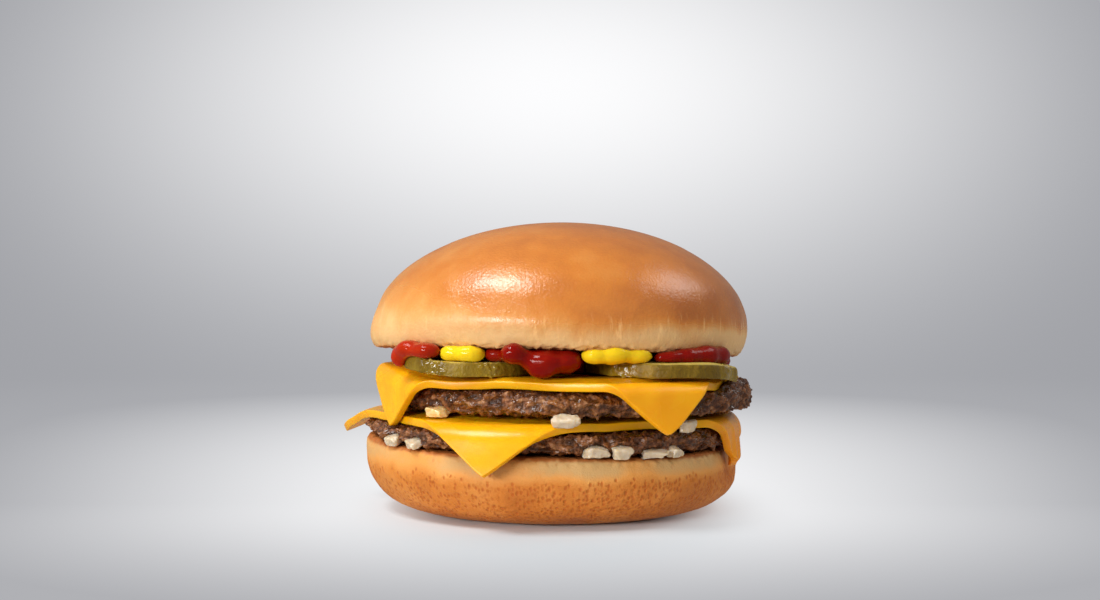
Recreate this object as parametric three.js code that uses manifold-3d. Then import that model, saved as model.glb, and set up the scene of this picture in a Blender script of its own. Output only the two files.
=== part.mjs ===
// Double cheeseburger: a soft round bun cut in two, two beef patties, two square slices of
// melting cheese, two pickle slices, ketchup, mustard and chopped onion.
// Millimetres, +Z up. The front faces -Y, and azimuths are degrees from the front towards +X.
// The origin is on the heel's flat foot, under the middle of the burger.
import * as THREE from "three";
import { ImprovedNoise } from "three/addons/math/ImprovedNoise.js";
import { mergeVertices } from "three/addons/utils/BufferGeometryUtils.js";
import Module from "manifold-3d";

// ---- driving dimensions -------------------------------------------------------------------

const GAP = 0.25; // clearance kept between pieces that lie against each other
const LAYER_GAP = 0.4; // and between the layers of the stack

const BUN_RADIUS = 50;

const HEEL = {
  footRadius: 34,
  footShift: 1, // the foot is a little right of the middle
  waistHeight: 13, // where the bottom half is widest
  height: 17.6,
  edge: 2.6, // rounding of the cut edge
  slant: -0.022, // the cut face falls towards +X
  curl: { azimuth: -90, width: 28, height: 1.3 }, // and its rim turns up and out at the left
  dent: { azimuth: 73, width: 15, height: 2.6 }, // pressed in under a corner of the lower slice
};

const CROWN = {
  height: 34.8,
  cheekHeight: 6.5, // where the top half is widest
  cutRadius: 46.8,
  centre: [1.6, 0, 40.9], // middle of the cut face
  leanBack: 2.7, // degrees, front edge up
  leanRight: 1.5, // degrees, right edge down
  topShift: 2.2, // the top stands a little right of the cut face
  jowl: { azimuth: -90, width: 42, height: 1.6 }, // the cheek is fuller at the left
};

const PATTY = {
  rim: 3.6, // depth of the rounded rim
  stiffness: 1, // how much less the upper patty's underside sags than what it lies on
  lobes: 1.3, // uneven outline
  crags: 1.5, // relief of the rim
};

// The top of a patty sags between the distances `from` and `to` from its middle.
const LOWER_PATTY = {
  centre: [-0.5, 0],
  radius: 48.7,
  top: { z: 25.3, slope: -0.01, sag: 2.1, from: 28, to: 47 },
  curl: { azimuth: 0, width: 30, height: 0 },
  seed: 3.1,
};

const SLICE = {
  half: 44, // half the side of a square slice
  thickness: 2,
  tipRound: 0.028, // how far the tips are rounded back, as a share of the half diagonal
};

// Each slice's corners are listed anticlockwise from above, beginning with the one at azimuth `turn`.
// `fold` is how far from the middle a corner starts to bend, `bend` the length of the bend, and
// `hang` how steeply the rest hangs, in degrees. `cone` is 0 for a straight fold across the corner
// and 1 for one that follows the round rim of the patty.
const LOWER_CHEESE = {
  centre: [-1.5, -1.5],
  turn: -16.2,
  patty: LOWER_PATTY,
  corners: [
    { fold: 46.5, bend: 5.5, hang: 72, cone: 1, ripple: 0 },
    { fold: 46.6, bend: 5, hang: 89, cone: 0.4, ripple: 1.1 },
    { fold: 48, bend: 5.5, hang: 70, cone: 0.6, ripple: 0.3 },
    { fold: 45, bend: 5.5, hang: 29, cone: 1, ripple: 0 },
  ],
  lifts: [],
};

const UPPER_PATTY = {
  centre: [3.9, 0],
  radius: 48.8,
  top: { z: 33.9, slope: 0, sag: 0.95, from: 43.5, to: 48 },
  curl: { azimuth: 70, width: 28, height: 2 }, // the rim stands up at the right
  seed: 8.7,
};

const UPPER_CHEESE = {
  centre: [3.5, -3],
  turn: 27,
  patty: UPPER_PATTY,
  corners: [
    { fold: 47.4, bend: 3.8, hang: 76, cone: 0.1, ripple: 0 },
    { fold: 42.8, bend: 5, hang: 80, cone: 1, ripple: 0.4 },
    { fold: 50, bend: 5, hang: 66, cone: 0.6, ripple: 0.3 },
    { fold: 45.6, bend: 5, hang: 88, cone: 0.2, ripple: 0 },
  ],
  lifts: [
    { azimuth: -82, width: 27, height: 3.1 }, // the left shoulder stands off the patty
    { azimuth: 61, width: 18, height: -1.65 }, // and the right edge is pressed down by a pickle
  ],
};

const CHEESE_TOP = UPPER_PATTY.top.z + LAYER_GAP + SLICE.thickness;

const PICKLE = {
  thickness: 3.6,
  edge: 0.5,
};
// `rise` is how far the left and right ends of a slice stand above its middle, and `droop` how far
// its front sags with the cheese.
const PICKLES = {
  pickle_left: { radius: 16.8, centre: [-20.6, -27.6], rise: [2, 0], droop: 0, seed: 1.3 },
  pickle_right: { radius: 18.9, centre: [27, -25.8], rise: [0.4, -2.2], droop: 0.3, seed: 5.2 },
};

// A drop of sauce is [azimuth, distance out, height, half length along the rim, half depth, half height].
const MUSTARD = {
  mustard_left: [
    [-31.2, 45.6, 42.1, 4.1, 3.7, 2.4],
    [-25.8, 46, 42.1, 4, 3.6, 2.4],
  ],
  mustard_right: [
    [12.2, 46.6, 41.9, 3.2, 3.2, 2.1],
    [17.8, 46.7, 42.1, 4.6, 3.7, 2.6],
    [25.3, 46.7, 41.8, 4.3, 3.4, 2.2],
  ],
  mustard_back: [
    [130, 43.3, 38.4, 5, 3.8, 1.6],
    [140, 43.4, 38.3, 4, 3.4, 1.4],
  ],
};

// The pad is the layer spread under the crown. It is set back in front, between the pickles, and
// reaches out to the drops at both sides.
const KETCHUP = {
  padRadius: 40.5,
  padReach: [
    { azimuth: 2, width: 25, height: -16 },
    { azimuth: 44, width: 20, height: 4 },
    { azimuth: -48, width: 22, height: 4 },
  ],
  drops: [
    [-38.6, 49.8, 42.7, 4.6, 3.2, 2], // left: an arch over the end of the pickle
    [-44.6, 50, 43, 3.6, 3.2, 2.3],
    [-48.8, 49.6, 41.2, 2.5, 2.8, 3.2],
    [-42, 46, 42.2, 6, 4, 1.6],
    [-18.5, 43.5, 42, 4.4, 2.8, 1.8], // middle: a drip between the pickles
    [-11.2, 47.4, 42.4, 3.3, 4, 2.8],
    [-2.3, 43, 40.3, 6.4, 7, 3.4],
    [4, 42, 40.5, 4.4, 7, 3.3],
    [1, 32, 40, 4.6, 12, 2.6],
    [-3.2, 46.4, 38.5, 3.7, 2.8, 2.1],
    [54.2, 49.6, 41.1, 5, 3.3, 2.4], // right: a roll on top of the pickle
    [48.2, 49.8, 41.3, 5, 3.3, 2.5],
    [41.8, 49.2, 41.1, 5, 3.2, 2.1],
    [35.5, 48.6, 41, 4.6, 3, 1.8],
    [45, 46, 40.9, 8, 4, 1.2],
    [97, 44.6, 38.4, 6.4, 4, 2], // round the back
    [160, 43.4, 38, 6.4, 4.4, 1.9],
    [-170, 43.4, 37.9, 4.8, 3.8, 1.6],
    [-121, 42.6, 38.6, 5.8, 4.8, 2.2],
  ],
};

// Chopped onion: [azimuth, distance out, lift, length, depth, height, turn, pitch].
const ONION_ON_HEEL = [
  [-55, 48.3, -0.5, 4.4, 3.6, 2.6, 8, 16],
  [-44.6, 48.7, -0.4, 4.4, 3.4, 2.3, -14, 20],
  [12.4, 48, -0.2, 5.8, 4.2, 2.5, 10, 9],
  [19.8, 48.4, -0.4, 4.6, 3.6, 3, -6, 12],
  [30, 48.7, -0.3, 5.8, 3, 1.8, -22, 16],
  [37.4, 48.7, -0.4, 4.2, 3.4, 2.2, 16, 18],
  [93, 47.2, 0.1, 5, 4.2, 2.5, 12, 2],
  [121, 47.4, 0.1, 4.6, 4.4, 2.6, -18, 2],
  [143, 47.3, 0.1, 5.4, 4, 2.4, 20, 2],
  [-173, 47.4, 0.1, 4.8, 4.4, 2.6, 5, 2],
  [-148, 47.2, 0.1, 4.6, 4.2, 2.5, -10, 0],
  [-128, 47.3, 0.1, 5.2, 4, 2.6, 15, 0],
];
const ONION_ON_CHEESE = [
  [-38.8, 45.4, 0.3, 5.6, 4.4, 2.4, 4, 8],
  [3.4, 50.3, -0.3, 6.2, 3.2, 2.6, -8, 30],
  [43, 48.6, -2.6, 4.2, 3, 2.9, 12, 6],
  [146, 46, 0.4, 5.2, 4.4, 2.4, 10, 4],
  [-152, 45.4, 0.4, 5, 4.2, 2.5, -12, 4],
];

const COLOURS = {
  crust: { color: 0xd98f49, roughness: 0.42 },
  beef: { color: 0x5b3a26, roughness: 0.6 },
  cheese: { color: 0xf6b21b, roughness: 0.35 },
  pickle: { color: 0x76752a, roughness: 0.3 },
  ketchup: { color: 0xa8150c, roughness: 0.2 },
  mustard: { color: 0xf0cf10, roughness: 0.3 },
  onion: { color: 0xe6dcc0, roughness: 0.35 },
};

// ---- helpers ------------------------------------------------------------------------------

const wasm = await Module();
wasm.setup();
const noise = new ImprovedNoise();

const radians = THREE.MathUtils.degToRad;
const smoothstep = THREE.MathUtils.smoothstep;
const outwards = (azimuth) => [Math.sin(radians(azimuth)), -Math.cos(radians(azimuth))];
const azimuthOf = (x, y) => THREE.MathUtils.radToDeg(Math.atan2(x, -y));

// The signed angle from b to a, between -180 and 180 degrees.
const turnBetween = (a, b) => THREE.MathUtils.euclideanModulo(a - b + 180, 360) - 180;

// Points of an elliptical arc, in degrees from the +r direction, without its first point.
function arc(centreR, centreZ, radiusR, radiusZ, from, to, steps) {
  return Array.from({ length: steps }, (_, i) => {
    const angle = radians(from + ((to - from) * (i + 1)) / steps);
    return [centreR + radiusR * Math.cos(angle), centreZ + radiusZ * Math.sin(angle)];
  });
}

// A closed mesh whose shared vertices are merged and whose collapsed triangles are dropped.
function closed(geometry) {
  geometry.deleteAttribute("normal");
  geometry.deleteAttribute("uv");
  const merged = mergeVertices(geometry, 1e-4);
  const corners = merged.index.array;
  const kept = [];
  for (let i = 0; i < corners.length; i += 3) {
    const [a, b, c] = corners.subarray(i, i + 3);
    if (a !== b && b !== c && c !== a) kept.push(a, b, c);
  }
  merged.setIndex(kept);
  return merged;
}

// The profile, [r, z] points from the axis at the bottom to the axis at the top, spun about Z.
function spun(profile, segments) {
  const points = profile.map(([r, z]) => new THREE.Vector2(r, z));
  return closed(new THREE.LatheGeometry(points, segments).rotateX(Math.PI / 2));
}

// Moves every vertex: change(x, y, z) gives the new [x, y, z].
function warped(geometry, change) {
  const position = geometry.getAttribute("position");
  for (let i = 0; i < position.count; i++)
    position.setXYZ(i, ...change(position.getX(i), position.getY(i), position.getZ(i)));
  return geometry;
}

function solidOf(geometry) {
  return new wasm.Manifold(
    new wasm.Mesh({
      numProp: 3,
      vertProperties: new Float32Array(geometry.getAttribute("position").array),
      triVerts: new Uint32Array(geometry.index.array),
    }),
  );
}

function geometryOf(solid) {
  const { vertProperties, triVerts } = solid.getMesh();
  const geometry = new THREE.BufferGeometry();
  geometry.setAttribute("position", new THREE.BufferAttribute(vertProperties, 3));
  geometry.setIndex(new THREE.BufferAttribute(triVerts, 1));
  return geometry;
}

const joined = (solids) => solids.reduce((whole, next) => whole.add(next));

// What is left of a solid when its neighbours are taken away, without loose scraps.
function clearedOf(solid, neighbours) {
  const left = neighbours.reduce((rest, cutter) => rest.subtract(cutter), solid);
  return left.decompose().reduce((a, b) => (b.volume() > a.volume() ? b : a));
}

const group = new THREE.Group();

function addPiece(name, solid, finish) {
  const material = new THREE.MeshStandardMaterial({ metalness: 0, ...COLOURS[finish] });
  const mesh = new THREE.Mesh(geometryOf(solid), material);
  mesh.name = name;
  group.add(mesh);
}

// A bump that fades away on either side of an azimuth.
const bumpAt = (bump, azimuth) =>
  bump.height * Math.exp(-((turnBetween(azimuth, bump.azimuth) / bump.width) ** 2));

// ---- bun ----------------------------------------------------------------------------------

// How far the heel's cut face stands above its height.
const heelRise = (x, y) =>
  HEEL.slant * x + bumpAt(HEEL.curl, azimuthOf(x, y)) * smoothstep(Math.hypot(x, y), 36, 50);

// A slow unevenness of the outline, a share of the radius.
const unevenness = (x, y, z, seed) => 0.012 * noise.noise(x / 30 + seed, y / 30, z / 30);

function heelSolid() {
  const { footRadius, waistHeight, height, edge } = HEEL;
  const flare = BUN_RADIUS - footRadius;
  const edgeRadius = BUN_RADIUS - 0.6 - edge;
  const profile = [
    [0, 0],
    [footRadius * 0.6, 0],
    [footRadius, 0],
    ...arc(footRadius, waistHeight, flare, waistHeight, -90, 0, 7),
    ...arc(edgeRadius, height - edge, edge, edge, 0, 90, 4),
    [30, height],
    [0, height],
  ];
  const geometry = warped(spun(profile, 40), (x, y, z) => {
    const share = z / height;
    const azimuth = azimuthOf(x, y);
    const pushed = bumpAt(HEEL.curl, azimuth) * smoothstep(z, 12, 18) -
      bumpAt(HEEL.dent, azimuth) * smoothstep(z, 6, 12);
    const swell = 1 + share * unevenness(x, y, z, 2.4) + pushed / BUN_RADIUS;
    const shift = HEEL.footShift * Math.max(0, 1 - z / 15);
    return [x * swell + shift, y * swell, z + heelRise(x, y) * share * share];
  });
  return solidOf(geometry);
}

function crownSolid(grow = 0) {
  const { height, cheekHeight, cutRadius, centre, leanBack, leanRight } = CROWN;
  const cut = cutRadius + grow;
  const widest = BUN_RADIUS + grow;
  const profile = [
    [0, -grow],
    [cut * 0.6, -grow],
    [cut, -grow],
    ...arc(cut, cheekHeight, widest - cut, cheekHeight + grow, -90, 0, 4),
    ...arc(0, cheekHeight, widest, height - cheekHeight + grow, 0, 90, 12),
  ];
  const geometry = warped(spun(profile, 40), (x, y, z) => {
    const full = bumpAt(CROWN.jowl, azimuthOf(x, y)) * smoothstep(Math.hypot(x, y), 30, cutRadius);
    const swell = 1 + unevenness(x, y, z, 7.9) + (full * (1 - smoothstep(z, 0, 12))) / BUN_RADIUS;
    return [x * swell + CROWN.topShift * Math.max(0, z / height) ** 1.5, y * swell, z];
  });
  geometry.rotateY(radians(leanRight));
  geometry.rotateX(-radians(leanBack));
  geometry.translate(...centre);
  return solidOf(geometry);
}

// ---- patties ------------------------------------------------------------------------------

// The height of a patty's top, and of what each patty lies on.
function pattyTop({ centre, top }, x, y) {
  const out = Math.hypot(x - centre[0], y - centre[1]);
  return top.z + top.slope * x - top.sag * smoothstep(out, top.from, top.to);
}
const underLower = (x, y) => HEEL.height + heelRise(x, y) + LAYER_GAP;
const overLowerSlice = (x, y) => pattyTop(LOWER_PATTY, x, y) + SLICE.thickness + LAYER_GAP;
const underUpper = (x, y) =>
  overLowerSlice(x, y) + LAYER_GAP + PATTY.stiffness * smoothstep(Math.hypot(x, y), 34, 47);

// A flat round of minced beef: z runs from 0 at its bottom to 1 at its top until it is placed.
function pattySolid(patty, bottom) {
  const { centre, radius, seed } = patty;
  const { rim, lobes, crags } = PATTY;
  const inner = radius - rim;
  const profile = [
    [0, 0],
    [inner * 0.82, 0],
    [inner, 0],
    ...arc(inner, 0.5, rim, 0.5, -90, 90, 7).map(([r, z]) => [
      inner + rim * Math.max(0, (r - inner) / rim) ** 0.75,
      z,
    ]),
    [inner * 0.88, 1],
    [inner * 0.74, 1],
    [inner * 0.55, 1],
    [0, 1],
  ];
  const geometry = warped(spun(profile, 64), (x, y, z) => {
    const out = Math.hypot(x, y);
    const atRim = smoothstep(out, inner - 1, inner + 1.5);
    const outline = lobes * noise.noise(x / 13, y / 13, seed);
    const relief = crags * noise.noise(x / 4.3 + seed, y / 4.3, z * 2.6);
    const reach = out > 0 ? 1 + (atRim * (outline + relief)) / out : 1;
    const [px, py] = [centre[0] + x * reach, centre[1] + y * reach];
    const [dx, dy] = [px - centre[0], py - centre[1]];
    const curled = bumpAt(patty.curl, azimuthOf(dx, dy)) * smoothstep(Math.hypot(dx, dy), 43, 48);
    const [low, high] = [bottom(px, py), pattyTop(patty, px, py) + curled];
    return [px, py, low + (high - low) * z];
  });
  return solidOf(geometry);
}

// ---- cheese -------------------------------------------------------------------------------

// How far out and down a length towards a corner ends up once the corner is bent.
function bentLength(length, { fold, bend, hang }) {
  const steepest = radians(hang);
  const tilt = steepest * THREE.MathUtils.clamp((length - fold) / bend, 0, 1);
  const straight = Math.max(0, length - fold - bend);
  return {
    out: Math.min(length, fold) + (bend / steepest) * Math.sin(tilt) + straight * Math.cos(steepest),
    down: (bend / steepest) * (1 - Math.cos(tilt)) + straight * Math.sin(steepest),
    tilt,
  };
}

// How far a slice is lifted off its patty, at an azimuth and a distance from its middle.
const liftOf = ({ lifts }, azimuth, reach) =>
  lifts.reduce((sum, lift) => sum + bumpAt(lift, azimuth), 0) * smoothstep(reach, 32, 46);

// A point of a slice: u and v run from -1 to 1 across it, side is 1 on top and -1 underneath.
function slicePoint(slice, u, v, side, grow) {
  const { centre, turn, patty, corners } = slice;
  const half = SLICE.half * (1 - SLICE.tipRound * Math.abs(u * v) ** 9) + grow;
  const around = azimuthOf(u, v) + 45; // from the corner at u = -1, v = -1
  const nearest = Math.round(around / 90);
  const corner = corners[THREE.MathUtils.euclideanModulo(nearest, 4)];

  // Along the corner's diagonal and across it, and the length that a round fold goes by.
  const reach = half * Math.hypot(u, v);
  const offCorner = radians(around - nearest * 90);
  const [along, across] = [reach * Math.cos(offCorner), reach * Math.sin(offCorner)];
  const length = THREE.MathUtils.lerp(along, reach, corner.cone);
  const { out, down, tilt } = bentLength(length, corner);

  const raised = liftOf(slice, turn + around, reach);
  const wave = corner.ripple * Math.sin(across / 2.2) ** 2 * smoothstep(length, corner.fold, 60);
  const offset = side * (SLICE.thickness / 2 + grow);
  const shrink = length > 0 ? (out + offset * Math.sin(tilt) + wave) / length : 1;
  const spread = THREE.MathUtils.lerp(1, shrink, corner.cone);
  const [dx, dy] = outwards(turn + nearest * 90);
  const x = centre[0] + dx * along * shrink - dy * across * spread;
  const y = centre[1] + dy * along * shrink + dx * across * spread;
  const middle = pattyTop(patty, x, y) + LAYER_GAP + SLICE.thickness / 2;
  return [x, y, middle - down + raised + offset * Math.cos(tilt)];
}

// Splits each of a flat box's squares along the diagonal that the nearest corner's fold runs along.
function splitAlongFolds(box) {
  const [position, index] = [box.getAttribute("position"), box.index.array];
  const u = (i) => position.getX(i);
  const v = (i) => position.getY(i);
  for (let i = 0; i < index.length; i += 6) {
    const [a, b, d, , c] = index.subarray(i, i + 6);
    const corner = (u(a) + u(c)) * (v(a) + v(c));
    if ((u(d) - u(b)) * (v(d) - v(b)) * corner > 0) index.set([a, b, c, a, c, d], i);
  }
  return box;
}

// A square slice: a flat box whose grid is laid over the patty.
function sliceSolid(slice, grow = 0) {
  const steps = 12;
  const box = closed(splitAlongFolds(new THREE.BoxGeometry(2, 2, 2, steps, steps, 1)));
  const towardsEdge = (share) => Math.sign(share) * (1 - (1 - Math.abs(share)) ** 1.5);
  return solidOf(
    warped(box, (u, v, side) => slicePoint(slice, towardsEdge(u), towardsEdge(v), side, grow)),
  );
}

// ---- pickles, sauces and onion ------------------------------------------------------------

function pickleSolid({ radius, centre, rise, droop, seed }, grow = 0) {
  const { thickness, edge } = PICKLE;
  const widest = radius + grow;
  const profile = [
    [0, -grow],
    [widest - edge, -grow],
    [widest, edge - grow],
    [widest, thickness - edge + grow],
    [widest - edge, thickness + grow],
    [0, thickness + grow],
  ];
  const geometry = warped(spun(profile, 32), (x, y, z) => {
    const swell = 1 + 0.03 * noise.noise(x / 9 + seed, y / 9, 0.5);
    const lift = rise[x < 0 ? 0 : 1] * Math.abs(x / radius) ** (x < 0 ? 2 : 4);
    return [x * swell, y * swell, z + lift - droop * smoothstep(-y / radius, 0.4, 1)];
  });
  geometry.translate(...centre, CHEESE_TOP + GAP);
  return solidOf(geometry);
}

// One rounded drop of sauce, lying along the rim.
function dropSolid([azimuth, out, height, along, deep, tall], grow = 0) {
  const [dx, dy] = outwards(azimuth);
  const geometry = closed(new THREE.SphereGeometry(1, 9, 5));
  geometry.scale(along + grow, deep + grow, tall + grow);
  geometry.rotateZ(radians(azimuth));
  geometry.translate(dx * out, dy * out, height);
  return solidOf(geometry);
}

const mustardSolid = (drops, grow = 0) => joined(drops.map((drop) => dropSolid(drop, grow)));

// The cut face of the crown and the top of the upper slice, as heights.
function crownCutAt(x, y) {
  const [cx, cy, cz] = CROWN.centre;
  return cz - Math.tan(radians(CROWN.leanBack)) * (y - cy) - Math.tan(radians(CROWN.leanRight)) * (x - cx);
}
function upperSliceTopAt(x, y) {
  const { centre, patty } = UPPER_CHEESE;
  const [dx, dy] = [x - centre[0], y - centre[1]];
  const raised = liftOf(UPPER_CHEESE, azimuthOf(dx, dy), Math.hypot(dx, dy));
  return pattyTop(patty, x, y) + LAYER_GAP + SLICE.thickness + raised;
}

function ketchupSolid() {
  const { padRadius, padReach, drops } = KETCHUP;
  const profile = [0, 0.62, 0.84, 1].map((share) => [share * padRadius, 0]);
  profile.push([padRadius, 1], [0, 1]);
  const pad = warped(spun(profile, 24), (x, y, z) => {
    const azimuth = azimuthOf(x, y);
    const reach = padReach.reduce((sum, bump) => sum + bumpAt(bump, azimuth), 0);
    const size = 1 + (reach + noise.noise(x / 14, y / 14, 4.4)) / padRadius;
    const [px, py] = [CROWN.centre[0] + x * size, y * size];
    const low = upperSliceTopAt(px, py) + LAYER_GAP;
    const high = crownCutAt(px, py) - LAYER_GAP;
    return [px, py, low + (high - low) * z];
  });
  return joined([solidOf(pad), ...drops.map((drop) => dropSolid(drop))]);
}

// Puts an onion block in its place: `under` gives the height of what it rests on.
function seated(geometry, [azimuth, out, lift, , , tall, turn, pitch], under) {
  const [x, y] = outwards(azimuth).map((value) => value * out);
  geometry.rotateX(radians(pitch));
  geometry.rotateZ(radians(azimuth + turn));
  geometry.translate(x, y, under(x, y) + lift + tall / 2);
  return solidOf(geometry);
}

// A rough little block, its corners knocked off.
function onionSolid(onion, under) {
  const [azimuth, , , length, depth, tall] = onion;
  const block = closed(new THREE.BoxGeometry(length, depth, tall, 2, 2, 2));
  const geometry = warped(block, (x, y, z) => {
    const corner = (Math.abs(x) / length) * (Math.abs(y) / depth) * (Math.abs(z) / tall) * 8;
    const size = 1 - 0.13 * corner + 0.14 * noise.noise(x + azimuth, y, z);
    return [x * size, y * size, z * size];
  });
  return seated(geometry, onion, under);
}

// The plain block that clears a place for it.
function onionPlace(onion, under) {
  const sizes = onion.slice(3, 6).map((size) => size * 1.06 + 2 * GAP);
  return seated(closed(new THREE.BoxGeometry(...sizes)), onion, under);
}

// ---- assembly -----------------------------------------------------------------------------

const onionPlaces = [
  ...ONION_ON_HEEL.map((onion) => onionPlace(onion, underLower)),
  ...ONION_ON_CHEESE.map((onion) => onionPlace(onion, overLowerSlice)),
];
const heel = heelSolid();
const crown = crownSolid();
const crownCutter = crownSolid(GAP);
const lowerCheese = sliceSolid(LOWER_CHEESE);
const upperCheese = sliceSolid(UPPER_CHEESE);
const lowerCheeseCutter = sliceSolid(LOWER_CHEESE, GAP);
const upperCheeseCutter = sliceSolid(UPPER_CHEESE, GAP);
const pickleCutters = Object.values(PICKLES).map((pickle) => pickleSolid(pickle, GAP));
const mustardCutters = Object.values(MUSTARD).map((drops) => mustardSolid(drops, GAP));

addPiece("bun_heel", heel, "crust");
addPiece("bun_crown", crown, "crust");
const lowerPatty = pattySolid(LOWER_PATTY, underLower);
const upperPatty = pattySolid(UPPER_PATTY, underUpper);
const inPatties = [lowerCheeseCutter, upperCheeseCutter, ...onionPlaces];
addPiece("patty_lower", clearedOf(lowerPatty, inPatties), "beef");
addPiece("patty_upper", clearedOf(upperPatty, inPatties), "beef");
addPiece("cheese_lower", lowerCheese, "cheese");
addPiece("cheese_upper", upperCheese, "cheese");
for (const [name, pickle] of Object.entries(PICKLES)) addPiece(name, pickleSolid(pickle), "pickle");

const underCrown = [crownCutter, upperCheeseCutter, ...pickleCutters];
for (const [name, drops] of Object.entries(MUSTARD))
  addPiece(name, clearedOf(mustardSolid(drops), underCrown), "mustard");
addPiece("ketchup", clearedOf(ketchupSolid(), [...underCrown, ...mustardCutters]), "ketchup");

ONION_ON_HEEL.forEach((onion, i) =>
  addPiece(`onion_heel_${i + 1}`, onionSolid(onion, underLower), "onion"),
);
ONION_ON_CHEESE.forEach((onion, i) =>
  addPiece(`onion_cheese_${i + 1}`, onionSolid(onion, overLowerSlice), "onion"),
);

export default group;
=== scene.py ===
"""Double cheeseburger: the looks of the bun, beef, cheese, pickles, sauces and onion, and the stage."""

import math

import bpy
import numpy as np
from bpy.props import FloatProperty, FloatVectorProperty, PointerProperty
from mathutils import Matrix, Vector
from mathutils.bvhtree import BVHTree


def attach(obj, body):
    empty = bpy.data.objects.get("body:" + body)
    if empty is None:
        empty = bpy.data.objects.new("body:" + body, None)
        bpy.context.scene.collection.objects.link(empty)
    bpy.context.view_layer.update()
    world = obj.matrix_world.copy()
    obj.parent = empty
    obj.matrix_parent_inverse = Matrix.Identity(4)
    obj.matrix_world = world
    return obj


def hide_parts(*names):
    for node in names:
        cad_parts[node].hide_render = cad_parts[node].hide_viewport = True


bl_info = {
    "name": "Double cheeseburger",
    "version": (1, 0, 0),
    "blender": (4, 5, 0),
    "location": "3D View > Sidebar > Burger",
    "description": "Builds a double cheeseburger piece by piece on a studio floor",
    "category": "Add Mesh",
}

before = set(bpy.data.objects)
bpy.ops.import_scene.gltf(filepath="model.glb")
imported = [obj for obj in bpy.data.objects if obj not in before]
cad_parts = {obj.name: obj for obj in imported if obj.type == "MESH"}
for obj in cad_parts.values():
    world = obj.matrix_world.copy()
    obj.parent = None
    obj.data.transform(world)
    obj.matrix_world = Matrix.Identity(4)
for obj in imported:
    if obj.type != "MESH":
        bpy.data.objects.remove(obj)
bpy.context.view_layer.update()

# ---- sizes, in millimetres ----------------------------------------------------------------
# The front faces -Y, and azimuths are degrees from the front towards +X. Curls, dents, swells and the
# like are bumps: an azimuth, how far the bump reaches to either side, and its height or strength.

PER_METRE = 1000  # millimetres
LAYER_GAP = 0.4
BUN_RADIUS = 50

HEEL = {
    "foot_radius": 34,
    "foot_shift": 1,
    "waist_height": 13,
    "height": 17.6,
    "edge": 2.6,
    "edge_inset": 0.6,
    "slant": -0.022,
    "curl": (-90, 28, 1.3),
    "dent": (73, 15, 2.6),
    "pored_up_to": (10, 14),
    "pore_spacing": (1.05, 1.2),
    "band_foot": 13,
    "band_dip": (0, 70, -0.6),
    "well_baked": (-50, 32, 0.12),
    "browned_rim": (-90, 26, 1),
}
CROWN = {
    "height": 34.8,
    "cheek_height": 6.5,
    "cut_radius": 46.8,
    "centre": (1.6, 0, 40.9),
    "lean_back": 2.7,
    "lean_right": 1.5,
    "top_shift": 2.2,
    "jowl": (-90, 42, 1.6),
    "swell": (-20, 27, 0.5),
    "band_top": 6.3,
    "band_bumps": [(-80, 40, 1.5), (14, 30, -1.1)],
    "well_baked": (36, 38, 0.2),
}
PATTY = {
    "rim": 3.6,
    "half_height": 3.6,
    "spun_height": 8,
    "stiffness": 1,
    "lobes": 1.3,
    "crags": 1.5,
    # The beef is painted darker at this bump on its right side: painted shade.
    "seared": (85, 36, 0.36),
}
# The top of a patty sags by so much between two distances from its middle.
LOWER_PATTY = {
    "centre": (-0.5, 0),
    "radius": 48.7,
    "top": 25.3,
    "slope": -0.01,
    "sag": (2.1, 28, 47),
    "curl": (0, 30, 0),
    "seed": 3.1,
}
UPPER_PATTY = {
    "centre": (3.9, 0),
    "radius": 48.8,
    "top": 33.9,
    "slope": 0,
    "sag": (0.95, 43.5, 48),
    "curl": (70, 28, 2),
    "seed": 8.7,
}

SLICE = {"half": 44, "thickness": 2, "tip_round": 0.028}
# A corner is (fold, bend, hang, cone, ripple): where it starts to bend, the length of the bend,
# how steeply it hangs, how far the fold follows the round rim, and how wavy it is.
LOWER_CHEESE = {
    "centre": (-1.5, -1.5),
    "turn": -16.2,
    "patty": LOWER_PATTY,
    "corners": [
        (46.5, 5.5, 72, 1, 0),
        (46.6, 5, 89, 0.4, 1.1),
        (48, 5.5, 70, 0.6, 0.3),
        (45, 5.5, 29, 1, 0),
    ],
    "lifts": [],
    # The hanging corner here is painted more orange: painted shade and light through the cheese.
    "thin": (72, 26, 0.8),
    "seed": 1.7,
}
UPPER_CHEESE = {
    "centre": (3.5, -3),
    "turn": 27,
    "patty": UPPER_PATTY,
    "corners": [
        (47.4, 3.8, 76, 0.1, 0),
        (42.8, 5, 80, 1, 0.4),
        (50, 5, 66, 0.6, 0.3),
        (45.6, 5, 88, 0.2, 0),
    ],
    "lifts": [(-82, 27, 3.1), (58, 10, -1.1)],
    # The hanging corner here is painted more orange: painted shade and light through the cheese.
    "thin": (30, 20, 0.25),
    "seed": 6.3,
}

PICKLE = {"thickness": 3.6, "foot": 36.5, "drop": 1.1}
# A pickle's left and right ends rise by so much, and drops of brine stand where its bumps are wet.
PICKLES = {
    "pickle_left": {
        "radius": 16.8,
        "centre": (-20.6, -27.6),
        "rise": (2, 0),
        "droop": 0,
        "wet": [(-30, 11, 1), (19, 9, 1)],
        "seed": 1.3,
    },
    "pickle_right": {
        "radius": 18.9,
        "centre": (27, -25.8),
        "rise": (0.4, -2.2),
        "droop": 0.3,
        "wet": [(-33, 10, 1), (60, 12, 0.6)],
        "seed": 5.2,
    },
}

# The sauces are remodelled at the size of a voxel. Drops that are less than about two reaches apart run
# together, and rounds of smoothing take the corners off.
SAUCE_SWELL = 0.3
SAUCES = {
    "ketchup": {"nodes": ["ketchup"], "voxel": 0.55, "reach": 1.5, "rounds": 7},
    "mustard": {
        "nodes": ["mustard_left", "mustard_right", "mustard_back"],
        "voxel": 0.4,
        "reach": 1.4,
        "rounds": 6,
    },
}

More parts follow.
